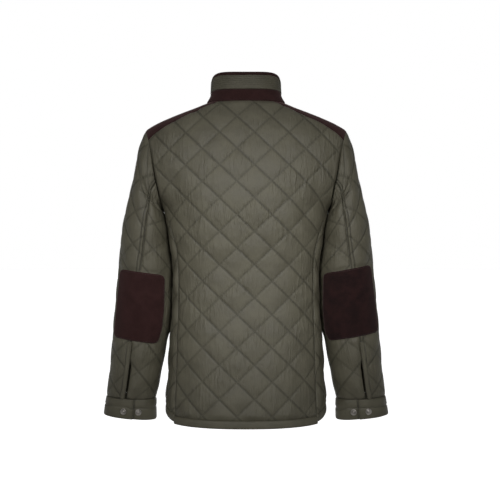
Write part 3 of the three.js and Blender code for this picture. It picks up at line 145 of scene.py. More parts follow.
# How far each patch hangs from an even rectangle at its corners, by the wearer's side, and the turns round
# the sleeve, in degrees, of its outer and inner edge at its top and at its bottom.
PATCH_SHIFTS = {
    1: {"top_outer": 0, "top_inner": 0, "bottom_outer": 3, "bottom_inner": 10},
    -1: {"top_outer": -10, "top_inner": -5.4, "bottom_outer": -9, "bottom_inner": 3},
}
PATCH_EDGES = {1: {"outer": (31, 26), "inner": (137, 137)}, -1: {"outer": (34, 21), "inner": (148, 154)}}
COLLAR_HALVES = table("share half", [(0, 92), (0.3, 83.5), (0.6, 81.6), (0.85, 81), (1, 78.6)])

# Low waves of the plain cloths: how high, how long, and the seed of their draw.
RIPPLES = named_rows("high size seed", {
    "yoke": (0.5, 45, 7), "band": (0.25, 22, 31), "placket": (0.3, 30, 5), "stand": (0.25, 14, 13),
    "upper": (0.3, 14, 13), "facing": (0, 14, 13), "patch": (0.5, 38, 51), "vent": (0.25, 16, 61),
    "cuff": (0.35, 20, 71), "cuff_fold": (0.1, 26, 77)})
QUILT_SEEDS = {"back": 3, "front": 11, "sleeve": 21}

# Soft folds: where, how they lean from straight down, how long, how wide and how deep.
SLEEVE_FOLDS = [
    {"v": 66, "angle": 70, "lean": 62, "long": 70, "wide": 11, "deep": 3.2},
    {"v": 84, "angle": 112, "lean": -38, "long": 62, "wide": 12, "deep": 3.6},
    {"v": 118, "angle": 88, "lean": 18, "long": 60, "wide": 12, "deep": 2.6},
    {"v": 78, "angle": 98, "lean": 82, "long": 66, "wide": 4.5, "deep": 4.6},
    {"v": 92, "angle": 92, "lean": 100, "long": 60, "wide": 4.5, "deep": 4.2},
    {"v": 70, "angle": 124, "lean": 40, "long": 44, "wide": 6, "deep": 4.4},
    {"v": 74, "angle": -72, "lean": -58, "long": 66, "wide": 12, "deep": 3.0},
    {"v": 262, "angle": 96, "lean": -8, "long": 56, "wide": 12, "deep": 2.2},
    {"v": 470, "angle": -40, "lean": 12, "long": 60, "wide": 12, "deep": 2.0},
]
BODY_FOLDS = [
    {"x": 158, "z": -205, "lean": 6, "long": 95, "wide": 13, "deep": 3.0},
    {"x": 132, "z": -262, "lean": -12, "long": 70, "wide": 14, "deep": 2.2},
    {"x": 194, "z": -152, "lean": 8, "long": 46, "wide": 5, "deep": 1.4},
]


def through(rows, value, column):
    """A monotone curve through a table's rows, read at any values of its first column."""
    keys, heights = rows[next(iter(rows))], rows[column]
    value = np.clip(value, keys[0], keys[-1])
    spans = np.diff(keys)
    slopes = np.diff(heights) / spans
    before, after = slopes[:-1], slopes[1:]
    both = before + after
    inner = np.where(before * after > 0, 2 * before * after / np.where(both == 0, 1, both), 0)
    tangents = np.concatenate([slopes[:1], inner, slopes[-1:]])
    k = np.clip(np.searchsorted(keys, value, side="right") - 1, 0, len(keys) - 2)
    t = (value - keys[k]) / spans[k]
    rise = heights[k] * (2 * t ** 3 - 3 * t ** 2 + 1) + heights[k + 1] * (3 * t ** 2 - 2 * t ** 3)
    return rise + spans[k] * ((t ** 3 - 2 * t ** 2 + t) * tangents[k] + (t ** 3 - t ** 2) * tangents[k + 1])


def smooth(value):
    value = np.clip(value, 0, 1)
    return value * value * (3 - 2 * value)


def signed_power(value, power):
    return np.sign(value) * np.abs(value) ** power


def unit(vectors):
    return vectors / np.maximum(np.linalg.norm(vectors, axis=-1, keepdims=True), 1e-9)


def stack(x, y, z):
    """Three coordinates as one array of places."""
    return np.stack(np.broadcast_arrays(x, y, z), axis=-1).astype(float)


HALVINGS = 44


def root_of(rises, low, high):
    """Where a rising function of an array reaches zero, between two bounds."""
    for _ in range(HALVINGS):
        middle = (low + high) / 2
        above = rises(middle) > 0
        high = np.where(above, middle, high)
        low = np.where(above, low, middle)
    return (low + high) / 2


def trough(fold, across, down):
    """Depth of one soft fold at places across and down from its middle."""
    lean = math.radians(fold["lean"])
    along = down * math.cos(lean) + across * math.sin(lean)
    aside = across * math.cos(lean) - down * math.sin(lean)
    ends = np.maximum(0, 1 - (2 * along / fold["long"]) ** 2)
    return fold["deep"] * ends * np.exp(-((aside / fold["wide"]) ** 2))


PATCHES = 64
PATCHY_ORIGIN = (17.3, 41.7)


def patchy(u, v, size, seed):
    """Smooth random values from -1 to 1 that vary over a given size in millimetres."""
    grid = np.random.default_rng(seed).uniform(-1, 1, (PATCHES, PATCHES))
    x, y = np.asarray(u) / size + PATCHY_ORIGIN[0], np.asarray(v) / size + PATCHY_ORIGIN[1]
    i, j = np.floor(x).astype(int), np.floor(y).astype(int)
    fx, fy = smooth(x - i), smooth(y - j)
    left, right, below, above = i % PATCHES, (i + 1) % PATCHES, j % PATCHES, (j + 1) % PATCHES
    low = grid[left, below] * (1 - fx) + grid[right, below] * fx
    high = grid[left, above] * (1 - fx) + grid[right, above] * fx
    return low * (1 - fy) + high * fy


def ripple(name, u, v, side=0):
    """Low waves of one cloth at places along and across it."""
    row = RIPPLES[name]
    return row["high"] * patchy(u, v, row["size"], row["seed"] + side)


def read_rows(values, known, found):
    """Reads each row of values in its own curve, whose known and found sides are a row each, or shared."""
    shapes = [(len(values), np.shape(part)[-1]) for part in (known, found)]
    known, found = np.broadcast_to(known, shapes[0]), np.broadcast_to(found, shapes[1])
    return np.array([np.interp(*row) for row in zip(values, known, found)])


def run_along(points):
    """Length along each row of points from its first one."""
    pieces = np.linalg.norm(np.diff(points, axis=1), axis=-1)
    return np.concatenate([np.zeros((len(points), 1)), np.cumsum(pieces, axis=1)], axis=1)


def spaced(points, count):
    """The same path with that many evenly spaced points."""
    run = run_along(points[None])[0]
    at = np.linspace(0, run[-1], count)
    return np.stack([np.interp(at, run, column) for column in points.T], axis=-1)


# Body surface


def body_place(angle, z):
    """Places on the body by the angle round from the centre back, and the level."""
    half, square = through(SECTIONS, z, "half"), through(SECTIONS, z, "square")
    depth = np.where(np.cos(angle) > 0, through(SECTIONS, z, "back"), through(SECTIONS, z, "front"))
    x = half * signed_power(np.sin(angle), 2 / square)
    y = depth * signed_power(np.cos(angle), 2 / square)
    dent = through(DENTS, z, "deep") * np.exp(-((y / DENT_REACH) ** 2))
    return stack(x - np.sign(x) * dent, y, z)


def body_out(angle, z):
    """Directions straight out of the body."""
    little = 0.004
    around = body_place(angle + little, z) - body_place(angle - little, z)
    up = body_place(angle, z + 1.0) - body_place(angle, z - 1.0)
    return unit(np.cross(up, around))


def body_angle_of_x(x, z):
    half, square = through(SECTIONS, z, "half"), through(SECTIONS, z, "square")
    return np.arcsin(np.minimum(1, np.abs(x) / half) ** (square / 2))


def body_angle_of_plan(x, y, z):
    power = through(SECTIONS, z, "square") / 2
    depth = np.where(y > 0, through(SECTIONS, z, "back"), through(SECTIONS, z, "front"))
    half = through(SECTIONS, z, "half")
    return np.arctan2(signed_power(x / half, power), signed_power(y / depth, power))


SHOULDER_LOWEST, SHOULDER_HIGHEST = -150.0, 12.0


def shoulder_level(x, y):
    """Level of the shoulders' surface above a place in plan."""

    def outside(z):
        square = through(SECTIONS, z, "square")
        depth = np.where(y > 0, through(SECTIONS, z, "back"), through(SECTIONS, z, "front"))
        return (np.abs(x) / through(SECTIONS, z, "half")) ** square + (np.abs(y) / depth) ** square - 1

    shape = np.broadcast(x, y).shape
    return root_of(outside, np.full(shape, SHOULDER_LOWEST), np.full(shape, SHOULDER_HIGHEST))


GIRTH_ANGLES = np.linspace(0, math.pi, 241)


def girths(z):
    """Length along each level's section from the centre back to each of GIRTH_ANGLES."""
    return run_along(body_place(GIRTH_ANGLES[None, :], np.asarray(z, float)[:, None]))


def arm_turn(z):
    """Turn round the armhole that a level lies at."""
    return np.arccos(np.clip((z - ARM_MIDDLE) / ARM_REACH, -1, 1))


def arm_body_angle(turn):
    z = ARM_MIDDLE + ARM_REACH * np.cos(turn)
    angle = body_angle_of_x(through(ARMHOLES, z, "x"), z)
    return np.where(np.sin(turn) >= 0, angle, math.pi - angle)


def arm_place(turn):
    return body_place(arm_body_angle(turn), ARM_MIDDLE + ARM_REACH * np.cos(turn))


# Sleeve surface


def ring_place(v, turn):
    """Places on the sleeve's own rings, by distance down it and turn from its outer end."""
    share = (1 + np.cos(turn)) / 2
    x = through(RINGS, v, "inX") + (through(RINGS, v, "outX") - through(RINGS, v, "inX")) * share
    z = through(RINGS, v, "inZ") + (through(RINGS, v, "outZ") - through(RINGS, v, "inZ")) * share
    return stack(x, through(RINGS, v, "y") + through(RINGS, v, "deep") * np.sin(turn), z)


def sleeve_plain(v, turn):
    """Places on the sleeve, which starts as the armhole and soon follows its rings."""
    v, turn = np.broadcast_arrays(np.asarray(v, float), np.asarray(turn, float))
    share = (1 - smooth(v / SLEEVE_BLEND))[..., None]
    same = np.where(turn > math.pi, turn - 2 * math.pi, turn)
    return ring_place(v, turn) + (arm_place(same) - ring_place(np.zeros_like(v), turn)) * share


def sleeve_out(v, turn):
    """Directions straight out of the sleeve."""
    little = 0.02
    low = np.maximum(0, np.asarray(v, float) - 1)
    along = sleeve_plain(low + 2, turn) - sleeve_plain(low, turn)
    around = sleeve_plain(v, turn + little) - sleeve_plain(v, turn - little)
    return unit(np.cross(along, around))


RING_TURNS = np.linspace(math.radians(-120), math.radians(280), 241)


def ring_lengths(v):
    """Length round each ring from its outer end to each of RING_TURNS."""
    lengths = run_along(sleeve_plain(np.asarray(v, float)[:, None], RING_TURNS[None, :]))
    return lengths - read_rows(np.zeros((len(lengths), 1)), RING_TURNS, lengths)


def length_of_turn(turn, lengths):
    return read_rows(np.broadcast_to(turn, (len(lengths),)), RING_TURNS, lengths)


def turn_of_length(length, lengths):
    return read_rows(length, lengths, RING_TURNS)


# Shells of cloth from grids of places

WELD = 2e-6
# Share of a fine step that is kept clear beside either end, so that no sliver is left there.
LEVELS_CLEAR = 0.4


def object_of(data):
    """An object in the scene for a mesh, lamp or camera, with its name."""
    piece = bpy.data.objects.new(data.name, data)
    bpy.context.scene.collection.objects.link(piece)
    return piece


def smooth_object(bm, name):
    """A smooth-shaded object made from a bmesh, which is then freed."""
    for face in bm.faces:
        face.smooth = True
    mesh = bpy.data.meshes.new(name)
    bm.to_mesh(mesh)
    bm.free()
    return object_of(mesh)


def grid_shell(name, outer, inner, uv, side=1, seam=None):
    """A closed shell between two grids of places in millimetres, with its own cloth coordinates.

    seam may give each place's distance from a double-stitched seam, and on the cuffs from the lines of
    painted shadow at the overlap and the fold. The mesh keeps its nearness, from 0 at SEAM_REACH to 1 at the
    seam, for the cloth's furrows and the painted shade in them.
    """
    rows, columns = outer.shape[:2]
    apart = 0.1
    bm = bmesh.new()
    bmesh.ops.create_grid(bm, x_segments=columns - 1, y_segments=rows - 1, size=1)
    bmesh.ops.solidify(bm, geom=bm.faces[:], thickness=apart)
    mesh = bpy.data.meshes.new(name)
    bm.to_mesh(mesh)
    bm.free()
    flat = np.zeros(len(mesh.vertices) * 3)
    mesh.vertices.foreach_get("co", flat)
    flat = flat.reshape(-1, 3)
    i = np.rint((flat[:, 0] + 1) / 2 * (columns - 1)).astype(int)
    j = np.rint((flat[:, 1] + 1) / 2 * (rows - 1)).astype(int)
    on_outer = np.abs(flat[:, 2]) < apart / 2
    place = np.where(on_outer[:, None], outer[j, i], inner[j, i]) * MM
    place[:, 0] *= side
    mesh.vertices.foreach_set("co", place.ravel())
    loops = np.zeros(len(mesh.loops), int)
    mesh.loops.foreach_get("vertex_index", loops)
    layer = mesh.uv_layers.new(name="cloth")
    layer.data.foreach_set("uv", (uv[j, i] * MM)[loops].ravel())
    if seam is not None:
        nearness = mesh.attributes.new("seam_nearness", "FLOAT", "POINT")
        nearness.data.foreach_set("value", np.clip(1 - seam[j, i] / SEAM_REACH, 0, 1))
    bm = bmesh.new()
    bm.from_mesh(mesh)
    bmesh.ops.remove_doubles(bm, verts=bm.verts, dist=WELD)
    bm.normal_update()
    if bm.calc_volume(signed=True) < 0:
        bmesh.ops.reverse_faces(bm, faces=bm.faces[:])
    for face in bm.faces:
        face.smooth = True
    bm.to_mesh(mesh)
    bm.free()
    return object_of(mesh)


def levels_between(low, high, origin, extra=()):
    """Both ends and every fine grid level between them, with any extra ones."""
    first = math.ceil((low - origin) / FINE + LEVELS_CLEAR)
    last = math.floor((high - origin) / FINE - LEVELS_CLEAR)
    inside = [origin + k * FINE for k in range(first, last + 1)]
    return np.array(sorted([low, *inside, high, *extra]))


def fine_columns(low, high, shift=0.0):
    """Every fine grid column from one place across to another, in the quilting's own measure."""
    first, last = math.floor((low - shift) / FINE), math.ceil((high - shift) / FINE)
    return np.arange(first, last + 1) * FINE + shift


# How full a diamond's middle is, and its unevenness: how much, and over what size.
CROWN = 0.45
UNEVEN = [(0.16, 60), (0.08, 17)]


def quilt(u, v, seed):
    """Height of the padding from a crossing of two stitch lines, uneven as sewn wadding is."""
    sizes = bpy.context.scene.jacket_sizes
    across = np.abs(np.sin(math.pi * (u + v) / DIAMOND))
    along = np.abs(np.sin(math.pi * (u - v) / DIAMOND))
    uneven = 1 + sum(much * patchy(u, v, size, seed + k) for k, (much, size) in enumerate(UNEVEN))
    return sizes.puff * (across * along) ** CROWN * uneven


def seam_roll(distance):
    """How far cloth turns down into a seam, by the distance from it."""
    return ROLL_DEPTH * np.clip(1 - distance / ROLL_REACH, 0, 1) ** 2


def finish_piece(piece, material, nodes=()):
    piece.data.materials.clear()
    piece.data.materials.append(material)
    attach(piece, BODY)
    if nodes:
        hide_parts(*nodes)


def cloth_piece(name, node, slot, cut, material, outer, inner, uv, side=1, seam=None):
    """A shell finished as a piece cut from flat cloth; the size it was cut to, in cut, is not used."""
    piece = grid_shell(name, outer, inner, uv, side, seam)
    finish_piece(piece, material, [node])


# Body panels

BACK_SHIFT = -STEP
# The back's last levels before the neck, where it meets the collar, and where its edges stop rolling.
NECK_ROW, NECK_EDGE, NECK_SEAM, NECK_FLAT = -4.6, -3.4, -3.2, -6.0
# The body where a hanging arm presses it: how deep, and its levels.
ARM_DEPTH, ARM_PRESS_TOP, ARM_PRESS_EASE, ARM_PRESS_BOTTOM, ARM_PRESS_FADE = 52.0, -235.0, 25.0, -600.0, 60.0


def yoke_line(x):
    return through(YOKE_LINE, x, "y")


def yoke_back_corner():
    """Level where the yoke's back line meets the armhole."""
    def behind(z):
        x = through(ARMHOLES, z, "x")
        return yoke_line(x) - body_place(body_angle_of_x(x, z), z)[..., 1]

    return float(root_of(behind, np.array([-120.0]), np.array([-70.0]))[0])


YOKE_BACK_ARM_Z = yoke_back_corner()


def yoke_back_x(z):
    low, high = np.full(len(z), YOKE_NECK_X - 20), np.full(len(z), YOKE_ARM_X + 4)
    return root_of(lambda x: z - shoulder_level(x, yoke_line(x)), low, high)


def neck_place(turn):
    """Places on the neck seam by the turn from the centre back."""
    x = NECK_HALF * np.sin(turn)
    y = np.where(np.cos(turn) > 0, NECK_BACK, NECK_FRONT) * np.cos(turn)
    return stack(x, y, shoulder_level(x, y))


NECK_BACK_TURN = math.asin(YOKE_NECK_X / NECK_HALF)
NECK_FRONT_TURN = math.pi - math.asin(YOKE_FRONT_NECK_X / NECK_HALF)
YOKE_FRONT_NECK_Z = float(neck_place(np.array([NECK_FRONT_TURN]))[0, 2])
NECK_CENTRE_Z = float(neck_place(np.array([math.pi]))[0, 2])


def yoke_front_x(z):
    share = (z - YOKE_FRONT_NECK_Z) / (YOKE_FRONT_ARM_Z - YOKE_FRONT_NECK_Z)
    arm_x = float(through(ARMHOLES, YOKE_FRONT_ARM_Z, "x"))
    return YOKE_FRONT_NECK_X + (arm_x - YOKE_FRONT_NECK_X) * share


def side_angle(z):
    return body_angle_of_x(through(SIDE_SEAMS, z, "x"), z)


def beside_arm(place, z):
    """How much a hanging arm presses each place, from 0 to 1."""
    facing = np.exp(-((place[..., 1] / ARM_DEPTH) ** 2))
    below = smooth((ARM_PRESS_TOP - z) / ARM_PRESS_EASE)
    return facing * below * smooth((z - ARM_PRESS_BOTTOM) / ARM_PRESS_FADE)


def fold_depth(place, z):
    """Depth of the body's soft folds, which all lie on its back."""
    deep = np.zeros(place.shape[:-1])
    for fold in BODY_FOLDS:
        deep += trough(fold, np.abs(place[..., 0]) - fold["x"], z - fold["z"])
    return deep * (place[..., 1] > 0)


def back_panel(material):
    """The quilted back between its side seams, armholes, yokes and neck."""
    corner = YOKE_BACK_ARM_Z
    bottom = HEM_LEVEL + BAND_HEIGHT + SEAM_HALF_GAP
    z = levels_between(bottom, NECK_ROW, QUILT_LEVEL, (corner,))
    z = np.concatenate([[bottom - TUCK], z, [NECK_EDGE]])
    yoke_angle = body_angle_of_x(yoke_back_x(np.maximum(z, corner)), z)
    end_angle = np.where(z <= corner, arm_body_angle(arm_turn(z)), yoke_angle)
    end_angle = np.where(z <= UNDERARM, side_angle(z), end_angle)
    end_angle[-1] = body_angle_of_x(YOKE_NECK_X, z[-1])
    lengths = girths(z)
    end = read_rows(end_angle, GIRTH_ANGLES, lengths) - SEAM_HALF_GAP
    widest = end.max() / BACK_ACROSS
    columns = fine_columns(-widest, widest, BACK_SHIFT) * BACK_ACROSS
    u = np.clip(columns[None, :], -end[:, None], end[:, None])
    angle = read_rows(np.abs(u), lengths, GIRTH_ANGLES) * np.sign(u)
    level = np.repeat(z[:, None], len(columns), axis=1)
    neck = neck_place(np.arcsin(np.clip(columns, -YOKE_NECK_X, YOKE_NECK_X) / NECK_HALF))
    level[-1] = neck[:, 2]
    angle[-1] = body_angle_of_plan(*neck.T)
    place, out = body_place(angle, level), body_out(angle, level)
    edge = np.minimum(end[:, None] - np.abs(u), np.minimum(level - bottom, NECK_SEAM - level))
    across = u / BACK_ACROSS - BACK_SHIFT
    free = 1 - PRESSED_FLAT * beside_arm(place, level)
    fold, rolls = fold_depth(place, level), level < NECK_FLAT
    lift = quilt(across, level - QUILT_LEVEL, QUILT_SEEDS["back"]) * smooth(edge / RISE) * free
    lift = lift - seam_roll(edge) * rolls - fold - TUCK_DEPTH * (edge < 0) * rolls
    outer, inner = place + out * lift[..., None], place - out * (PADDED_WALL + fold)[..., None]
    uv = np.stack([across, level - QUILT_LEVEL], axis=-1)
    cloth_piece("back_cloth", "back_panel", "quilted_taffeta", "back", material, outer, inner, uv)


def front_hem(angle):
    """Level of the fronts' hem, which rises from the side seam to the front."""
    seam = float(side_angle(FRONT_HEM_AT_SEAM))
    share = smooth((angle - seam) / (math.pi / 2 - seam))
    return FRONT_HEM_AT_SEAM + (FRONT_HEM_LEVEL - FRONT_HEM_AT_SEAM) * share


def neck_turn_of_level(z):
    low, high = np.full(len(z), NECK_FRONT_TURN), np.full(len(z), math.pi)
    return root_of(lambda turn: z - neck_place(turn)[..., 2], low, high)


FRONT_MEETING = 0.25
# Steps of the quilting down to the front's hem, extra rows there, and where the placket keeps padding flat.
FRONT_STEPS, HEM_ROWS = 25, 5
UNDER_PLACKET, PLACKET_EASE, MEETING_FLAT = 27.0, 12.0, 2.0


def front_panel(side, material):
    """One quilted front, from the neck and yoke down to its band, which its last rows follow."""
    low = UNDERARM - FRONT_STEPS * STEP
    z = levels_between(low, YOKE_FRONT_NECK_Z, QUILT_LEVEL, (YOKE_FRONT_ARM_Z, NECK_CENTRE_Z))
    z = np.concatenate([np.full(HEM_ROWS + 1, z[0]), z])
    share_down = np.zeros(len(z))
    share_down[0] = 1
    share_down[1:HEM_ROWS + 1] = np.linspace(1, 0, HEM_ROWS + 1)[:-1]
    tucked = (np.arange(len(z)) == 0)[:, None]
    yoke_angle = math.pi - body_angle_of_x(yoke_front_x(np.maximum(z, YOKE_FRONT_ARM_Z)), z)
    end_angle = np.where(z <= YOKE_FRONT_ARM_Z, arm_body_angle(-arm_turn(z)), yoke_angle)
    end_angle = np.where(z <= UNDERARM, side_angle(z), end_angle)
    lengths = girths(z)
    whole = lengths[:, -1]
    end = whole - read_rows(end_angle, GIRTH_ANGLES, lengths) - SEAM_HALF_GAP
    neck = neck_place(neck_turn_of_level(np.maximum(z, NECK_CENTRE_Z)))
    neck_angle = body_angle_of_plan(neck[:, 0], neck[:, 1], z)
    neck_u = whole - read_rows(neck_angle, GIRTH_ANGLES, lengths)
    start = np.minimum(np.where(z > NECK_CENTRE_Z, neck_u, FRONT_MEETING), end)
    columns = fine_columns(0, end.max())
    u = np.clip(columns[None, :], start[:, None], end[:, None])
    angle = read_rows(whole[:, None] - u, lengths, GIRTH_ANGLES)
    level = np.repeat(z[:, None], len(columns), axis=1)
    hem = front_hem(angle) + BAND_HEIGHT + SEAM_HALF_GAP
    level = level + (hem - level) * share_down[:, None] - TUCK * tucked
    place, out = body_place(angle, level), body_out(angle, level)
    edge = np.minimum(np.minimum(end[:, None] - u, u - start[:, None]), level - hem)
    clear = smooth((u - UNDER_PLACKET) / PLACKET_EASE)
    lift = quilt(u, level - QUILT_LEVEL, QUILT_SEEDS["front"] + side) * smooth(edge / RISE) * clear
    lift = lift * (1 - PRESSED_FLAT * beside_arm(place, level))
    lift = lift - seam_roll(edge) * (u > MEETING_FLAT) - TUCK_DEPTH * tucked
    outer, inner = place + out * lift[..., None], place - out * PADDED_WALL
    uv = np.stack([u, level - QUILT_LEVEL], axis=-1)
    name = SIDES[side]
    cloth_piece(f"front_cloth_{name}", f"front_{name}", "quilted_taffeta", "front", material,
                outer, inner, uv, side)


# Yokes

YOKE_COLUMNS, YOKE_ROWS = 64, 40
YOKE_ROLL, YOKE_ROLL_REACH, YOKE_RIPPLE_IN = 0.7, 6.0, 12.0


def yoke_grid():
    """Places between the yoke's four edges: along the back and front lines, from the neck to the armhole."""
    s = np.linspace(0, 1, YOKE_COLUMNS)
    t = np.linspace(0, 1, YOKE_ROWS)
    corner = through(ARMHOLES, YOKE_BACK_ARM_Z, "x")
    back_x = YOKE_NECK_X + (corner - YOKE_NECK_X) * s
    back = np.stack([back_x, yoke_line(back_x)], axis=-1)
    back[-1] = arm_place(arm_turn(np.array([YOKE_BACK_ARM_Z])))[0, :2]
    front_z = YOKE_FRONT_NECK_Z + (YOKE_FRONT_ARM_Z - YOKE_FRONT_NECK_Z) * s
    front = body_place(math.pi - body_angle_of_x(yoke_front_x(front_z), front_z), front_z)[:, :2]
    neck = neck_place(NECK_BACK_TURN + (NECK_FRONT_TURN - NECK_BACK_TURN) * t)[:, :2]
    from_turn, to_turn = arm_turn(YOKE_BACK_ARM_Z), -arm_turn(YOKE_FRONT_ARM_Z)
    arm = arm_place(from_turn + (to_turn - from_turn) * t)[:, :2]
    ss, tt = s[None, :, None], t[:, None, None]
    ends = (1 - ss) * neck[:, None] + ss * arm[:, None]
    sides = (1 - tt) * back[None] + tt * front[None]
    low = (1 - ss) * back[0] + ss * back[-1]
    high = (1 - ss) * front[0] + ss * front[-1]
    plan = ends + sides - ((1 - tt) * low + tt * high)
    z = shoulder_level(plan[..., 0], plan[..., 1])
    return np.concatenate([plan, z[..., None]], axis=-1)


def edge_distance(place):
    """Distance of each grid place from the grid's nearest edge, along its rows and columns."""
    def run(axis):
        pieces = np.linalg.norm(np.diff(place, axis=axis), axis=-1)
        pad = [(0, 0), (0, 0)]
        pad[axis] = (1, 0)
        total = np.cumsum(np.pad(pieces, pad), axis=axis)
        return np.minimum(total, np.take(total, [-1], axis=axis) - total)

    return run(0), run(1)


def yoke(side, material):
    place = yoke_grid()
    angle = body_angle_of_plan(place[..., 0], place[..., 1], place[..., 2])
    out = body_out(angle, place[..., 2])
    edge = np.minimum(*edge_distance(place))
    lift = YOKE_ROLL * smooth(edge / YOKE_ROLL_REACH) - YOKE_ROLL
    lift = lift + ripple("yoke", place[..., 0], place[..., 1], side) * smooth(edge / YOKE_RIPPLE_IN)
    outer, inner = place + out * lift[..., None], place - out * YOKE_WALL
    name = SIDES[side]
    cloth_piece(f"yoke_cloth_{name}", f"yoke_{name}", "brown_moleskin", "yoke", material, outer, inner,
                place[..., :2], side)


# Hem bands

BAND_PROFILE = table("up out", [
    (0, -1.2), (0.06, 0.1), (0.15, 0.8), (0.5, 1.35), (0.85, 0.9), (0.95, 0.3), (1, -0.8)])
BAND_SHARES = np.array([0, 0.03, 0.07, 0.14, 0.25, 0.4, 0.55, 0.7, 0.82, 0.9, 0.96, 1])
BACK_BAND_COLUMNS, FRONT_BAND_COLUMNS = 130, 100
# Half the side seam's gap as an angle at the fronts' mean radius there.
SEAM_HALF_ANGLE = SEAM_HALF_GAP / 150


def band(name, angle_at, bottom, columns, material, side, cut):
    """One band, from a way to find its angles at any levels, and its bottom level at each column."""
    up = np.repeat(BAND_SHARES[:, None], len(columns), axis=1)
    risen = (BAND_HEIGHT - 2 * SEAM_HALF_GAP) * up
    level = bottom[None, :] + risen
    angle = angle_at(level)
    place, out = body_place(angle, level), body_out(angle, level)
    wave = ripple("band", columns, columns * 0, side)[None, :] * np.sin(math.pi * up)
    lift = through(BAND_PROFILE, up, "out") + wave
    outer, inner = place + out * lift[..., None], place - out * BAND_WALL
    uv = np.stack([np.repeat(columns[None, :], len(up), axis=0), level - bottom[None, :]], axis=-1)
    cloth_piece(f"hem_band_cloth_{name}", f"hem_band_{name}", "plain_taffeta", cut, material,
                outer, inner, uv, side)


def back_band(material):
    level = np.array([HEM_LEVEL + BAND_HEIGHT])
    end = float(read_rows(side_angle(level), GIRTH_ANGLES, girths(level))[0]) - SEAM_HALF_GAP
    columns = np.linspace(-end, end, BACK_BAND_COLUMNS)

    def angle_at(levels):
        z = levels[:, 0]
        lengths = girths(z)
        seam = read_rows(side_angle(z), GIRTH_ANGLES, lengths)
        scaled = columns[None, :] * ((seam - SEAM_HALF_GAP) / end)[:, None]
        return read_rows(np.abs(scaled), lengths, GIRTH_ANGLES) * np.sign(scaled)

    band("back", angle_at, np.full(len(columns), HEM_LEVEL), columns, material, 1, "back_band")


def front_band(side, material):
    lengths = girths(np.array([FRONT_HEM_LEVEL + BAND_HEIGHT]))[0]
    first = float(side_angle(FRONT_HEM_AT_SEAM)) + SEAM_HALF_ANGLE
    start = np.interp(first, GIRTH_ANGLES, lengths)
    columns = np.linspace(start, lengths[-1] - FRONT_MEETING, FRONT_BAND_COLUMNS)
    angles = np.interp(columns, lengths, GIRTH_ANGLES)

    def angle_at(levels):
        return np.broadcast_to(angles, levels.shape)

    band(SIDES[side], angle_at, front_hem(angles), columns, material, side, "front_band")


# Placket

PLACKET_HALF, PLACKET_LIFT, PLACKET_WALL, PLACKET_TOP, PLACKET_BOTTOM = 25.0, 1.8, 1.8, -70.0, -711.0
PLACKET_ROWS, PLACKET_COLUMNS = 200, 19
# How much and how far in the edges of cloths laid on others are rounded.
LAID_ROLL, LAID_ROLL_REACH = 0.9, 3.0


def placket(material):
    z = np.linspace(PLACKET_BOTTOM, PLACKET_TOP, PLACKET_ROWS)
    u = np.linspace(-PLACKET_HALF, PLACKET_HALF, PLACKET_COLUMNS)
    lengths = girths(z)
    angle = read_rows(lengths[:, -1:] - np.abs(u), lengths, GIRTH_ANGLES)
    level = np.repeat(z[:, None], len(u), axis=1)
    middle = PLACKET_COLUMNS // 2
    mirror = stack(np.sign(u), 1, 1)[None, :]
    mirror[:, middle, 0] = 0
    place, out = body_place(angle, level) * mirror, unit(body_out(angle, level) * mirror)
    aside = PLACKET_HALF - np.abs(u)[None, :]
    edge = np.minimum(aside, np.minimum(level - PLACKET_BOTTOM, PLACKET_TOP - level))
    lift = PLACKET_LIFT + PLACKET_WALL - LAID_ROLL * (1 - smooth(edge / LAID_ROLL_REACH))
    lift = lift + ripple("placket", level, u[None, :])
    outer, inner = place + out * lift[..., None], place + out * PLACKET_LIFT
    uv = np.stack([np.repeat(u[None, :], len(z), axis=0), level], axis=-1)
    cloth_piece("placket_cloth", "front_placket", "plain_taffeta", "placket", material, outer, inner, uv)


# Collar


# Level of the collar's top edge: its mean, its fall from the back to the front, and its dip at the sides.
COLLAR_TOP_LEVEL, COLLAR_FALL, COLLAR_DIP = 40.25, 32.5, 11.75
# The depth reaches the back's top measure at this share of the height, and the cloth leans out by this share.
COLLAR_BACK_SHARE, COLLAR_LEAN = 0.6, 0.5
COLLAR_COLUMNS, COLLAR_RADIUS = 220, 85.0


def collar_top(turn):
    return COLLAR_TOP_LEVEL + COLLAR_FALL * np.cos(turn) - COLLAR_DIP * np.cos(2 * turn)


def collar_place(turn, height):
    """Places on the collar by the turn from the centre back and the height up it."""
    share = height / COLLAR_HEIGHT
    turn, share = np.broadcast_arrays(turn, share)
    foot = neck_place(turn)[..., 2] + COLLAR_SEAT
    back = NECK_BACK + (COLLAR_BACK - NECK_BACK) * smooth(share / COLLAR_BACK_SHARE)
    depth = np.where(np.cos(turn) > 0, back, NECK_FRONT + (COLLAR_FRONT - NECK_FRONT) * share)
    x = through(COLLAR_HALVES, np.clip(share, 0, 1), "half") * np.sin(turn)
    return stack(x, depth * np.cos(turn), foot + (collar_top(turn) - foot) * share)


def collar_out(turn, height):
    little = 0.02
    around = collar_place(turn + little, height) - collar_place(turn - little, height)
    up = collar_place(turn, height + 2) - collar_place(turn, height)
    out = np.cross(up, around)
    out[..., 2] *= COLLAR_LEAN
    return unit(out)


COLLAR_LAST_TURN = math.pi - math.asin(FRONT_MEETING / NECK_HALF)


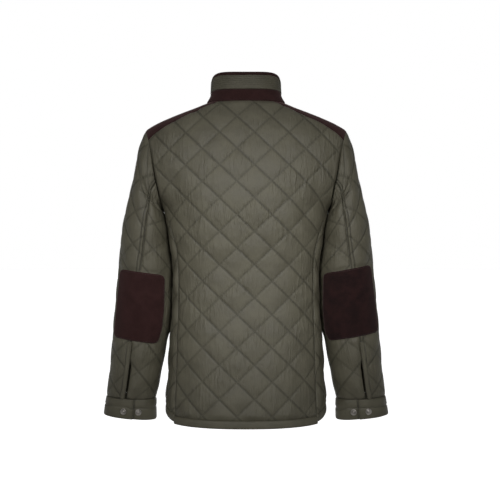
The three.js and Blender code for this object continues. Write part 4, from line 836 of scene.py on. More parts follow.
def collar_piece(part, outer_path, inner_path, slot, material):
    """One part of the collar, from its outer and inner paths of places: out from the collar, and up it."""
    turns = np.linspace(-COLLAR_LAST_TURN, COLLAR_LAST_TURN, COLLAR_COLUMNS)
    bumps = ripple(part, turns * COLLAR_RADIUS, turns * 0)

    def side_of(path):
        out_by, height = np.array(path).T
        turn, level = np.meshgrid(turns, height)
        place, out = collar_place(np.abs(turn), level), collar_out(np.abs(turn), level)
        rise = np.sin(math.pi * np.linspace(0, 1, len(height)))
        amount = out_by[:, None] + bumps[None, :] * rise[:, None]
        uv = np.stack([turn * COLLAR_RADIUS, level], axis=-1)
        return (place + out * amount[..., None]) * stack(np.sign(turn), 1, 1), uv

    outer, uv = side_of(outer_path)
    inner, _ = side_of(inner_path)
    cloth_piece(f"collar_{part}_cloth", f"collar_{part}", slot, part, material, outer, inner, uv)


# The collar's sections as places: out from its surface, and up it. The facing's count from its top edge.
STAND_OUTER = np.array([
    (-1.3, -2.6), (-0.3, -0.6), (0.1, 1.2), (0.3, 8), (0.3, 17), (0.1, 24.5), (-0.5, COLLAR_SPLIT)])
STAND_INNER = np.array([(-COLLAR_WALL, -2.6), (-COLLAR_WALL, COLLAR_SPLIT)])
STAND_ROWS = 16
UPPER_FOOT = [(0.1, 0), (0.9, 0.8), (1.1, 2.2), (0.75, 3.4)]
UPPER_RIDGE = [(1.5, 0.3), (1.55, 0.65), (0.4, 1)]
FACING_OUTER = [(1.35, -4.5), (1.75, -3.2), (1.75, 0.6), (1.2, 1.9), (0.1, 2.75), (-1.2, 3.0), (-2.6, 2.7),
                (-3.6, 1.7), (-3.9, 0.2)]
FACING_INNER = [(0.35, -4.5), (0.35, -3.2), (0.35, -1), (0.3, -0.2), (0.1, 0.3), (-1.2, 0.35), (-1.9, 0.3),
                (-2.15, 0), (-2.2, -0.8)]
FACING_LEVELS = (40, 17, 8, 3)


def collar_stand(material):
    paths = spaced(STAND_OUTER, STAND_ROWS), spaced(STAND_INNER, STAND_ROWS)
    collar_piece("stand", *paths, "brown_moleskin", material)


def collar_upper(material):
    low, step = COLLAR_SPLIT + 2 * SEAM_HALF_GAP, COLLAR_ROW_STEP
    rows = [(out, low + up) for out, up in UPPER_FOOT] + [(0.7, COLLAR_ROWS_FROM)]
    for k in range(COLLAR_ROWS):
        start = COLLAR_ROWS_FROM + k * step
        rows += [(out, start + step * share) for out, share in UPPER_RIDGE]
    rows += [(0.3, COLLAR_UPPER_TOP - 2.5), (0, COLLAR_UPPER_TOP)]
    inner = [(-COLLAR_WALL, height) for _, height in rows]
    collar_piece("upper", rows, inner, "plain_taffeta", material)


def collar_facing(material):
    paths = []
    for turned in (FACING_OUTER, FACING_INNER):
        path = [(out, COLLAR_UPPER_TOP + up) for out, up in turned]
        paths.append(path + [(path[-1][0], level) for level in FACING_LEVELS])
    collar_piece("facing", *paths, "brown_moleskin", material)


# Sleeves


def back_seam_turn(v):
    return np.radians(through(SLEEVE_SEAMS, v, "back"))


def sleeve_places(v, turn, lengths):
    """Sleeve surface with its soft folds, the direction out of it, and the length round to each place."""
    place, out = sleeve_plain(v, turn), sleeve_out(v, turn)
    deep = np.zeros(turn.shape)
    run = read_rows(turn, RING_TURNS, lengths)
    for fold in SLEEVE_FOLDS:
        middle = length_of_turn(math.radians(fold["angle"]), lengths)[:, None]
        deep += trough(fold, run - middle, v - fold["v"])
    deep *= smooth(v / STEP)
    return place - out * deep[..., None], out, run


def patch_shift(side, v, share):
    """How far down a place on a patch hangs, by its level and its share of the way in from the outer edge."""
    row, share = PATCH_SHIFTS[side], np.clip(share, 0, 1)
    down = np.clip((v - PATCH_TOP) / (PATCH_BOTTOM - PATCH_TOP), 0, 1)
    top = row["top_outer"] + (row["top_inner"] - row["top_outer"]) * share
    bottom = row["bottom_outer"] + (row["bottom_inner"] - row["bottom_outer"]) * share
    return top + (bottom - top) * down


def patch_edge(side, edge, v, lengths):
    """Length round the sleeve to a patch's outer or inner edge, at each ring's distance down the sleeve."""
    turns = np.interp(v, (PATCH_TOP, PATCH_BOTTOM), PATCH_EDGES[side][edge])
    return length_of_turn(np.radians(turns), lengths)


def outside_patch(side, v, run, lengths):
    """Distance of each place outside the edge of that sleeve's patch, below zero inside it."""
    low = patch_edge(side, "outer", v[:, 0], lengths)[:, None]
    high = patch_edge(side, "inner", v[:, 0], lengths)[:, None]
    even = v - patch_shift(side, v, (run - low) / (high - low))
    along = np.maximum(PATCH_TOP - even, even - PATCH_BOTTOM)
    return np.maximum(along, np.maximum(low - run, run - high))


def vent_gap(v):
    """How far the vent stands open beside the back seam."""
    return VENT_OPEN * smooth((v - VENT_SPLIT) / VENT_EASE)


# Where the sleeve's padding lies flatter: beside its patch, where it faces the body, crumpled at the
# underarm, and along its outer edge. Inward places run from 0 at the outer edge to 1 beside the body.
PATCH_CLEAR, PATCH_EASE, PATCH_ROLL = 1.0, 10.0, 9.0
FACING_BODY, FACING_EASE, FACING_FROM = 0.55, 0.3, 10.0
CRUMPLED, CRUMPLED_EASE, CRUMPLED_FLAT = 0.3, 0.4, 0.8
CRUMPLED_TO, UNDERARM_EASE = 60.0, 60.0
OUTER_FLAT, OUTER_TURN = 0.5, 0.7


def sleeve_panel(part, side, turn_from, turn_to, origin, material, gap=0.0):
    """One of a sleeve's two cloths between two seams, with its quilting counted from the origin's turn."""
    v = levels_between(0, SLEEVE_END, 0)
    lengths = ring_lengths(v)
    low = length_of_turn(turn_from(v), lengths) + SEAM_HALF_GAP + gap * vent_gap(v)
    high = length_of_turn(turn_to(v), lengths) - SEAM_HALF_GAP
    shift = length_of_turn(origin, lengths)
    columns = fine_columns((low - shift).min(), (high - shift).max())
    run = np.clip(columns[None, :] + shift[:, None], low[:, None], high[:, None])
    turn = turn_of_length(run, lengths)
    across, along = run - shift[:, None], np.broadcast_to(v[:, None], run.shape)
    place, out, ring_run = sleeve_places(along, turn, lengths)
    aside = np.minimum(run - low[:, None], high[:, None] - run)
    edge = np.minimum(aside, np.minimum(along, SLEEVE_END - along))
    clear = smooth((outside_patch(side, along, ring_run, lengths) - PATCH_CLEAR) / PATCH_EASE)
    inward = (1 - np.cos(turn)) / 2
    beside_body = smooth((inward - FACING_BODY) / FACING_EASE) * smooth((along - FACING_FROM) / UNDERARM_EASE)
    crumpled = smooth((inward - CRUMPLED) / CRUMPLED_EASE)
    crumpled = crumpled * (1 - smooth((along - CRUMPLED_TO) / UNDERARM_EASE))
    outer_edge = np.exp(-((turn / OUTER_TURN) ** 2))
    lift = quilt(across, along, QUILT_SEEDS["sleeve"] + side * 2) * smooth(edge / RISE) * clear
    lift = lift * (1 - PRESSED_FLAT * beside_body) * (1 - CRUMPLED_FLAT * crumpled)
    lift = lift * (1 - OUTER_FLAT * outer_edge)
    lift = lift - seam_roll(edge) * smooth((edge + clear * PATCH_ROLL) / PATCH_ROLL)
    outer, inner = place + out * lift[..., None], place - out * PADDED_WALL
    # Distance from the back seam, where the material paints shade into the furrows of the two topstitch rows;
    # the under sleeve gets none.
    seam = np.full(run.shape, SEAM_REACH) if gap else high[:, None] - run
    name = SIDES[side]
    cloth_piece(f"sleeve_{part}_cloth_{name}", f"sleeve_{part}_{name}", "quilted_taffeta", f"{part}_sleeve",
                material, outer, inner, np.stack([across, along], axis=-1), side, seam)


# Cloths laid on the sleeve: how far above it, how thick, and how far in edges round off and ripples rise.
SLEEVE_LAID, PATCH_WALL, VENT_WALL, SLEEVE_ROLL_REACH = 1.2, 2.0, 1.6, 2.6
PATCH_RIPPLE_IN, VENT_RIPPLE_IN = 14.0, 3.0
PATCH_ROWS, PATCH_COLUMNS, VENT_ROWS, VENT_COLUMNS = 62, 46, 60, 9


def sleeve_overlay(v, turn, lengths, wall, edge, bumps):
    """The upper and lower places of a cloth laid on the sleeve."""
    place, out, _ = sleeve_places(v, turn, lengths)
    top = SLEEVE_LAID + wall - LAID_ROLL * (1 - smooth(edge / SLEEVE_ROLL_REACH)) + bumps
    return place + out * top[..., None], place + out * SLEEVE_LAID


def elbow_patch(side, material):
    v = np.linspace(PATCH_TOP, PATCH_BOTTOM, PATCH_ROWS)
    lengths = ring_lengths(v)
    ends = np.minimum(v - PATCH_TOP, PATCH_BOTTOM - v)
    into = PATCH_CORNER - np.minimum(ends, PATCH_CORNER)
    inset = PATCH_CORNER - np.sqrt(np.maximum(0, PATCH_CORNER ** 2 - into ** 2))
    outer, inner = patch_edge(side, "outer", v, lengths), patch_edge(side, "inner", v, lengths)
    low, high = outer + inset, inner - inset
    run = low[:, None] + (high - low)[:, None] * np.linspace(0, 1, PATCH_COLUMNS)
    turn = turn_of_length(run, lengths)
    edge = np.minimum(np.minimum(run - low[:, None], high[:, None] - run), ends[:, None])
    bumps = ripple("patch", run, v[:, None], side) * smooth(edge / PATCH_RIPPLE_IN)
    across = (run - outer[:, None]) / (inner - outer)[:, None]
    along = np.broadcast_to(v[:, None], run.shape)
    hung = along + patch_shift(side, along, across)
    shell = sleeve_overlay(hung, turn, lengths, PATCH_WALL, edge, bumps)
    name = SIDES[side]
    uv = np.stack([run, along], axis=-1)
    cloth_piece(f"elbow_patch_cloth_{name}", f"elbow_patch_{name}", "brown_moleskin", "patch", material,
                *shell, uv, side)


def vent_strip(side, material):
    v = np.linspace(VENT_TOP, SLEEVE_END - 0.2, VENT_ROWS)
    lengths = ring_lengths(v)
    high = length_of_turn(back_seam_turn(v), lengths) - 2 * SEAM_HALF_GAP
    run = high[:, None] - VENT_WIDTH * np.linspace(1, 0, VENT_COLUMNS)[None, :]
    edge = np.minimum(run - run[:, :1], run[:, -1:] - run)
    bumps = ripple("vent", run, v[:, None], side) * smooth(edge / VENT_RIPPLE_IN)
    along = np.broadcast_to(v[:, None], run.shape)
    shell = sleeve_overlay(along, turn_of_length(run, lengths), lengths, VENT_WALL, edge, bumps)
    name = SIDES[side]
    cloth_piece(f"vent_strip_cloth_{name}", f"vent_strip_{name}", "plain_taffeta", "vent", material, *shell,
                np.stack([run, along], axis=-1), side)


# Cuffs

# The cuff's section, with a fold across it at CUFF_FOLD of its height, and the shares that its rows stand at.
CUFF_PROFILE = table("share out", [
    (0, -0.6), (0.03, 0.4), (0.1, 1.0), (0.38, 1.3), (0.46, -0.5), (0.54, 1.2), (0.9, 1.05), (0.97, 0.4),
    (1, -0.7)])
CUFF_SHARES = np.array([0, 0.015, 0.04, 0.08, 0.15, 0.25, 0.35, 0.42, 0.46, 0.5, 0.54, 0.58, 0.66, 0.76, 0.86,
                        0.93, 0.97, 0.99, 1])
CUFF_COLUMNS = 190
# Millimetres round the cuff in a degree, for its cloth and for its ends.
CUFF_CLOTH_DEGREE, CUFF_END_DEGREE = 0.9, 0.85
# From this many degrees on the cuff sinks under its own outer end.
CUFF_SINK_FROM, CUFF_SINK_EASE = 325.0, 36.0
# The painted shadow line beside the overlap, and the fainter painted shade of the fold.
CUFF_SHADOW, CUFF_HEIGHT = 357.0, 46.0
CUFF_FOLD, CUFF_FOLD_FAINT = 0.46, 1.0
CUFF_END_ROLL, CUFF_END_REACH, CUFF_RIPPLE_IN = 0.8, 2.2, 8.0


def cuff_place(turned, v, out_by):
    """Places on the cuff by degrees from its end, distance down the sleeve, and how far they stand out."""
    little, up = 0.02, 4.0
    turn = np.radians(CUFF_EDGE - turned)
    sink = CUFF_TUCK * smooth((turned - CUFF_SINK_FROM) / CUFF_SINK_EASE)
    place = ring_place(v, turn)
    around = ring_place(v, turn + little) - ring_place(v, turn - little)
    out = unit(np.cross(place - ring_place(v - up, turn), around))
    return place + out * (out_by - sink)[..., None]


def cuff(side, material):
    turned = np.linspace(0, CUFF_TURN, CUFF_COLUMNS)
    v = CUFF_START + (CUFF_END - CUFF_START) * CUFF_SHARES
    around, along = np.meshgrid(turned, v)
    shares = np.repeat(CUFF_SHARES[:, None], len(turned), axis=1)
    cloth_run = around * CUFF_CLOTH_DEGREE
    ends = np.minimum(around, CUFF_TURN - around) * CUFF_END_DEGREE
    wavy = shares + np.sin(math.pi * shares) * ripple("cuff_fold", cloth_run, along * 0, side)
    out_by = through(CUFF_PROFILE, wavy, "out") - CUFF_END_ROLL * (1 - smooth(ends / CUFF_END_REACH))
    out_by = out_by + ripple("cuff", cloth_run, along, side) * smooth(ends / CUFF_RIPPLE_IN)
    outer = cuff_place(around, along, out_by)
    inner = cuff_place(around, along, np.full(around.shape, -CUFF_WALL))
    # Distance from the painted shadow line of the overlap, and from the fainter painted shade of the fold.
    seam = np.abs(around - CUFF_SHADOW) * CUFF_END_DEGREE
    seam = np.minimum(seam, np.abs(wavy - CUFF_FOLD) * CUFF_HEIGHT + CUFF_FOLD_FAINT)
    name = SIDES[side]
    cloth_piece(f"cuff_cloth_{name}", f"cuff_{name}", "plain_taffeta", "cuff", material, outer, inner,
                np.stack([cloth_run, along], axis=-1), side, seam)


# Snaps

SNAP_REACH, SNAP_SEAT = 5.0, 0.3
CUFF_SNAP_LEVEL = 612.0
CUFF_SNAPS = table("number turned", [(1, 20), (2, 347)])
FRONT_SNAPS, FRONT_SNAP_TOP, FRONT_SNAP_STEP = 6, -98.0, -118.0
SNAP_SIDES = 36
# A cap's section, from its middle out: radius and height.
SNAP_PROFILE = [(0, 3.0), (1.2, 2.9), (2.4, 2.55), (3.4, 1.95), (4.1, 1.2), (4.5, 0.75), (5.0, 0.8),
                (5.6, 1.15), (6.3, 1.2), (6.9, 0.95), (7.4, 0.5), (7.3, 0.0), (0, 0)]


def snap(name, place, out, node, material):
    """A domed snap cap in a rolled rim, spun round its own axis."""
    bm = bmesh.new()
    verts = [bm.verts.new((r * MM, 0, h * MM)) for r, h in SNAP_PROFILE]
    edges = [bm.edges.new(pair) for pair in zip(verts, verts[1:])]
    bmesh.ops.spin(bm, geom=verts + edges, cent=(0, 0, 0), axis=(0, 0, 1), dvec=(0, 0, 0),
                   angle=2 * math.pi, steps=SNAP_SIDES, use_merge=True)
    bmesh.ops.remove_doubles(bm, verts=bm.verts, dist=1e-6)
    bmesh.ops.recalc_face_normals(bm, faces=bm.faces)
    turn = Vector((0, 0, 1)).rotation_difference(Vector(out)).to_matrix().to_4x4()
    seat = (np.array(place) + np.array(out) * SNAP_SEAT) * MM
    bmesh.ops.transform(bm, matrix=Matrix.Translation(Vector(seat)) @ turn, verts=bm.verts)
    finish_piece(smooth_object(bm, name), material, [node])


def cuff_snap(side, number, turned, material):
    def at(around, along):
        return cuff_place(np.array([around % 360]), np.array([along]), np.array([1.0]))[0]

    across = at(turned + SNAP_REACH, CUFF_SNAP_LEVEL) - at(turned - SNAP_REACH, CUFF_SNAP_LEVEL)
    along = at(turned, CUFF_SNAP_LEVEL + SNAP_REACH) - at(turned, CUFF_SNAP_LEVEL - SNAP_REACH)
    mirror = np.array([side, 1, 1])
    end = f"{number}_{SIDES[side]}"
    snap(f"snap_cap_cuff_{end}", at(turned, CUFF_SNAP_LEVEL) * mirror, unit(np.cross(across, along)) * mirror,
         f"cuff_snap_{end}", material)


def front_snap(number, material):
    z = np.array([FRONT_SNAP_TOP + (number - 1) * FRONT_SNAP_STEP])
    out = unit(body_out(np.array([math.pi - 0.02]), z)[0] * [0, 1, 1])
    place = body_place(np.array([math.pi]), z)[0] * [0, 1, 1] + out * (PLACKET_LIFT + PLACKET_WALL)
    snap(f"snap_cap_front_{number}", place, out, f"front_snap_{number}", material)


# Stitching: every stitch a short bead of thread, sunk a little into the cloth it holds

THREAD_HALF, THREAD_HIGH, STITCH_SHARE = 0.42, 0.34, 0.42
TRIM_IN = 2.3
# How many points each line is given by, and how far one ends before a corner, as an angle.
LONG_LINE, SHORT_LINE, COLLAR_LINE, SLEEVE_LINE, CUFF_LINE = 300, 30, 400, 120, 260
LINE_END, FRONT_LINE_END = 0.01, 0.03
# How far above the sleeve its lines are given, to be set down on it, and how far they end before its ends.
ABOVE_CLOTH, SLEEVE_LINE_TOP, VENT_LINE_TOP, VENT_LINE_END = 3.0, 12.0, 1.0, 2.0
# The collar's single lines, and degrees of the cuff that its lines begin at and end before.
UPPER_LINES, STAND_LINES = (COLLAR_SPLIT + 2.0, COLLAR_UPPER_TOP - 6.6), (2.2, COLLAR_SPLIT - 2.2)
CUFF_LINE_FROM, CUFF_LINE_TO = 3.0, CUFF_TURN - 45


def beads(name, count):
    """One object of many small round beads, all in one place, and the places of one bead's vertices."""
    bm = bmesh.new()
    bmesh.ops.create_uvsphere(bm, u_segments=6, v_segments=4, radius=1)
    piece = smooth_object(bm, name)
    places = np.array([vertex.co for vertex in piece.data.vertices])
    row = piece.modifiers.new("row", "ARRAY")
    row.count, row.use_relative_offset = count, False
    made_row = piece.evaluated_get(bpy.context.evaluated_depsgraph_get())
    piece.data = bpy.data.meshes.new_from_object(made_row)
    piece.modifiers.clear()
    return piece, places


def surface_of(cloth):
    """A piece's surface, to find the nearest places on it."""
    bm = bmesh.new()
    bm.from_mesh(bpy.data.objects[cloth].data)
    surface = BVHTree.FromBMesh(bm)
    bm.free()
    return surface


def sew(name, lines, side, material):
    """Topstitching as one piece. Each line is the piece it lies on and its places on the wearer's left."""
    apart = bpy.context.scene.jacket_sizes.stitch
    surfaces = {cloth: surface_of(cloth) for cloth in {cloth for cloth, _ in lines}}
    starts, ends, normals = [], [], []
    for cloth, places in lines:
        count = max(2, int(round(run_along(places[None])[0, -1] / apart)) + 1)
        points = spaced(places, count) * [side, 1, 1] * MM
        seats = [surfaces[cloth].find_nearest(Vector(point))[:2] for point in points]
        starts += [seat[0] for seat in seats[:-1]]
        ends += [seat[0] for seat in seats[1:]]
        normals += [seat[1] for seat in seats[:-1]]
    starts, ends, normals = np.array(starts), np.array(ends), np.array(normals)
    half = np.linalg.norm(ends - starts, axis=1, keepdims=True) * STITCH_SHARE
    along = unit(ends - starts)
    aside = unit(np.cross(along, normals))
    up = np.cross(aside, along)
    piece, bead = beads(name, len(starts))
    place = ((starts + ends) / 2)[:, None]
    for k, way in enumerate((aside * THREAD_HALF * MM, up * THREAD_HIGH * MM, along * half)):
        place = place + way[:, None] * bead[None, :, k:k + 1]
    piece.data.vertices.foreach_set("co", place.ravel())
    piece.data.update()
    finish_piece(piece, material)


def collar_line(height):
    """A line round the collar at one height."""
    last = COLLAR_LAST_TURN - FRONT_LINE_END
    turns = np.linspace(-last, last, COLLAR_LINE)
    heights = np.full(len(turns), height)
    place, out = collar_place(np.abs(turns), heights), collar_out(np.abs(turns), heights)
    return (place + out) * stack(np.where(turns < 0, -1, 1), 1, 1)


def sew_collar(material, brown):
    rows = [COLLAR_ROWS_FROM + k * COLLAR_ROW_STEP for k in range(COLLAR_ROWS + 1)]
    lines = [("collar_upper_cloth", collar_line(height)) for height in (*rows, *UPPER_LINES)]
    sew("stitches_collar", lines, 1, material)
    lines = [("collar_stand_cloth", collar_line(height)) for height in STAND_LINES]
    sew("stitches_stand", lines, 1, brown)


def sew_hems(material):
    trims = (TRIM_IN, BAND_HEIGHT - TRIM_IN)
    lines = []
    for level in (HEM_LEVEL + into for into in trims):
        last = float(side_angle(level)) - LINE_END
        angle = np.linspace(-last, last, LONG_LINE)
        lines.append(("hem_band_cloth_back", body_place(angle, np.full(LONG_LINE, level))))
    sew("stitches_hem_back", lines, 1, material)
    seam = float(side_angle(FRONT_HEM_AT_SEAM)) + LINE_END
    angle = np.linspace(seam, math.pi - FRONT_LINE_END, LONG_LINE)
    for side, name in SIDES.items():
        lines = [(f"hem_band_cloth_{name}", body_place(angle, front_hem(angle) + into)) for into in trims]
        sew(f"stitches_hem_{name}", lines, side, material)


def sew_placket(material):
    z = np.linspace(PLACKET_BOTTOM + TRIM_IN, PLACKET_TOP - TRIM_IN, LONG_LINE)
    angle = math.pi - body_angle_of_x(np.full(LONG_LINE, PLACKET_HALF - TRIM_IN), z)
    lines = [("placket_cloth", body_place(angle * side, z)) for side in SIDES]
    sew("stitches_placket", lines, 1, material)


def sew_yokes(material):
    place = yoke_grid()
    for side, name in SIDES.items():
        lines = [(f"yoke_cloth_{name}", place[row, 1:-1]) for row in (1, -2)]
        sew(f"stitches_yoke_{name}", lines, side, material)


def above_sleeve(v, run, lengths):
    """Places a little above the sleeve, by the distance down it and the length round it."""
    turn = turn_of_length(run, lengths)
    return sleeve_plain(v, turn) + sleeve_out(v, turn) * ABOVE_CLOTH


def sew_sleeves(material):
    """Two rows beside the back seam, above the patch on the top sleeve and below it on the vent strip."""
    for side, name in SIDES.items():
        lines = []
        for beside in (TRIM_IN, TRIM_IN + DOUBLE_ROW):
            for cloth, top, end in (
                    (f"sleeve_top_cloth_{name}", SLEEVE_LINE_TOP, PATCH_TOP - SLEEVE_LINE_TOP),
                    (f"vent_strip_cloth_{name}", VENT_TOP + VENT_LINE_TOP, SLEEVE_END - VENT_LINE_END)):
                v = np.linspace(top, end, SLEEVE_LINE)
                lengths = ring_lengths(v)
                seam = length_of_turn(back_seam_turn(v), lengths)
                lines.append((cloth, above_sleeve(v, seam - beside, lengths)))
        sew(f"stitches_sleeve_{name}", lines, side, material)


CORNER_POINTS, EDGE_POINTS = 8, 24


def patch_outline():
    """A closed line just inside a rounded patch: distance down the sleeve, inset, and share across."""
    corner = PATCH_CORNER - TRIM_IN
    turns = np.linspace(0, math.pi / 2, CORNER_POINTS)
    inset, rise = corner * (1 - np.cos(turns)), corner * (1 - np.sin(turns))
    top, bottom = PATCH_TOP + TRIM_IN + rise, PATCH_BOTTOM - TRIM_IN - rise
    first, last = np.zeros(CORNER_POINTS), np.ones(CORNER_POINTS)
    rows = [(top, inset, first), (top[::-1], inset[::-1], last), (bottom, inset, last),
            (bottom[::-1], inset[::-1], first)]
    line = np.concatenate([np.stack(row, axis=-1) for row in rows])
    line = np.concatenate([line, line[:1]])
    return np.concatenate([np.linspace(a, b, EDGE_POINTS)[:-1] for a, b in zip(line, line[1:])])


def sew_patches(material):
    v, inset, share = patch_outline().T
    lengths = ring_lengths(v)
    for side, name in SIDES.items():
        low, high = patch_edge(side, "outer", v, lengths), patch_edge(side, "inner", v, lengths)
        run = low + TRIM_IN + inset + (high - low - 2 * TRIM_IN - 2 * inset) * share
        hung = v + patch_shift(side, v, (run - low) / (high - low))
        lines = [(f"elbow_patch_cloth_{name}", above_sleeve(hung, run, lengths))]
        sew(f"stitches_patch_{name}", lines, side, material)


def sew_cuffs(material):
    ends = (CUFF_START + TRIM_IN, CUFF_END - TRIM_IN)
    around = np.linspace(CUFF_LINE_FROM, CUFF_LINE_TO, CUFF_LINE)
    places = [cuff_place(around, np.full(CUFF_LINE, level), np.ones(CUFF_LINE)) for level in ends]
    along = np.linspace(*ends, SHORT_LINE)
    places.append(cuff_place(np.full(SHORT_LINE, CUFF_LINE_FROM), along, np.ones(SHORT_LINE)))
    for side, name in SIDES.items():
        lines = [(f"cuff_cloth_{name}", line) for line in places]
        sew(f"stitches_cuff_{name}", lines, side, material)


# Materials


def colour(hex_text):
    """An sRGB hex colour as the linear red, green and blue that shaders take."""
    parts = [int(hex_text[k:k + 2], 16) / 255 for k in (1, 3, 5)]
    return [p / 12.92 if p <= 0.04045 else ((p + 0.055) / 1.055) ** 2.4 for p in parts] + [1.0]


def add_node(tree, kind, settings=None, *values, **named):
    """One node with its settings. Values fill the inputs it uses in order, and named ones those of a name."""
    node = tree.nodes.new("ShaderNode" + kind)
    for key, value in (settings or {}).items():
        setattr(node, key, value)
    given = list(zip([socket for socket in node.inputs if socket.enabled], values))
    given += [(node.inputs[name.replace("_", " ")], value) for name, value in named.items()]
    for socket, value in given:
        if isinstance(value, bpy.types.Node):
            value = next(output for output in value.outputs if output.enabled)
        if isinstance(value, bpy.types.NodeSocket):
            tree.links.new(value, socket)
        else:
            socket.default_value = value
    return node


def new_material(name):
    """An empty material, and add_node for its own nodes."""
    material = bpy.data.materials.new(name)
    material.use_nodes = True
    material.node_tree.nodes.clear()
    return material, partial(add_node, material.node_tree)


# Settings of the nodes below.
ADD, SUBTRACT, MULTIPLY, DIVIDE, MINIMUM, MAXIMUM, LESS_THAN, FRACT, ABSOLUTE = (
    {"operation": name} for name in (
        "ADD", "SUBTRACT", "MULTIPLY", "DIVIDE", "MINIMUM", "MAXIMUM", "LESS_THAN", "FRACT", "ABSOLUTE"))
SOFT = {"interpolation_type": "SMOOTHSTEP"}
COLOURS = {"data_type": "RGBA"}
# Length of one wave of a wave texture at a scale of 1.
WAVE = 0.1 * math.pi

# Patterns of the taffeta and how high they stand, in millimetres. Its ribs are drawn several times coarser
# than the real ones, as coarse as they need to show.
CLOUD, RIBS, GRAIN = 38.46, 1.496, 1.111
RIB_HIGH, GRAIN_HIGH = 0.06, 0.08
WRINKLES = named_rows("size high", {True: (13.333, 0.6), False: (16.667, 0.7)})
# Furrows along seams and folds: their edges, their depth, and the painted shade in them.
FURROW_EDGE, FURROW_DEEP, FURROW_SHADE = (0.5, 2.6), 0.9, 0.6

# The quilting's stitches: one with its gap and its share of that, the edge and height of its thread, the
# groove that it lies in, and how much painted shade darkens that groove, less on the lines that run one way.
QUILT_STITCH, QUILT_STITCH_SHARE, QUILT_THREAD_SHOWS = 3.6, 0.62, 0.55
QUILT_THREAD_EDGE, QUILT_THREAD_HIGH = (0.35, 0.55), 0.25
GROOVE_EDGE, GROOVE_SHADE, GROOVE_SHADE_LESS = (0.4, 3.6), 0.56, 0.24
# The puckers across its lines, and the fine upright crinkles between them.
PUCKER_ALONG, PUCKER_ACROSS, PUCKER_EDGE, PUCKER_HIGH = 5.263, 25.0, (1.0, 13.0), 1.1
CRINKLE, CRINKLE_STRETCH, CRINKLE_HIGH, CRINKLED_PART = 5.882, 5.0, 1.1, 90.91


def quilting(add, uv, base, height):
    """A cloth's colour and height with the threads, the painted shade of the grooves, the puckers and the
    crinkles of its quilting.
    """
    colours = bpy.context.scene.jacket_colours
    split = add("SeparateXYZ", None, uv)
    size = DIAMOND * MM
    ways, lines = [], []
    for operation in (ADD, SUBTRACT):
        ways.append(add("Math", operation, split.outputs["X"], split.outputs["Y"]))
        place = add("Math", FRACT, add("Math", ADD, add("Math", DIVIDE, ways[-1], size), 0.5))
        off = add("Math", ABSOLUTE, add("Math", SUBTRACT, place, 0.5))
        lines.append(add("Math", MULTIPLY, off, size / math.sqrt(2)))
    near = add("Math", MINIMUM, *lines)
    first = add("Math", LESS_THAN, *lines)
    run = add("Math", DIVIDE, add("Mix", None, first, *ways), math.sqrt(2))
    beat = add("Math", FRACT, add("Math", DIVIDE, run, QUILT_STITCH * MM))
    low, high = QUILT_THREAD_EDGE
    on_line = add("MapRange", SOFT, near, low * MM, high * MM, 1.0, 0.0)
    thread_here = add("Math", MULTIPLY, add("Math", LESS_THAN, beat, QUILT_STITCH_SHARE), on_line)
    # Painted shade along the stitch lines, lighter on the lines that run one way.
    low, high = GROOVE_EDGE
    groove_shade = add("MapRange", SOFT, near, low * MM, high * MM, 1.0, 0.0)
    dark = add("Math", SUBTRACT, GROOVE_SHADE, add("Math", MULTIPLY, first, GROOVE_SHADE_LESS))
    base = add("Mix", COLOURS, add("Math", MULTIPLY, groove_shade, dark), base, (*colours.olive_deep, 1))
    shows = add("Math", MULTIPLY, thread_here, QUILT_THREAD_SHOWS)
    base = add("Mix", COLOURS, shows, base, (*colours.thread, 1))
    along = add("Math", DIVIDE, run, PUCKER_ALONG * MM)
    across = add("Math", DIVIDE, near, PUCKER_ACROSS * MM)
    pucker = add("TexNoise", None, add("CombineXYZ", None, along, across, first), Scale=1.0, Detail=2.0)
    low, high = PUCKER_EDGE
    pucker_high = add("MapRange", SOFT, near, low * MM, high * MM, PUCKER_HIGH * MM, 0.0)
    upright = add("Mapping", None, uv, Scale=(1, 1 / CRINKLE_STRETCH, 1))
    streaks = add("TexNoise", None, upright, Scale=1 / (CRINKLE * MM), Detail=3.0)
    parts = add("TexNoise", None, uv, Scale=1 / (CRINKLED_PART * MM), Detail=1.0)
    crinkled = add("MapRange", SOFT, parts, 0.4, 0.62, 0.25, 0.9)
    ridges = add("MapRange", SOFT, streaks, 0.42, 0.7, 0.0, CRINKLE_HIGH * MM)
    for more in (add("Math", MULTIPLY, pucker, pucker_high),
                 add("Math", MULTIPLY, thread_here, QUILT_THREAD_HIGH * MM),
                 add("Math", MULTIPLY, ridges, crinkled)):
        height = add("Math", ADD, height, more)
    return base, height


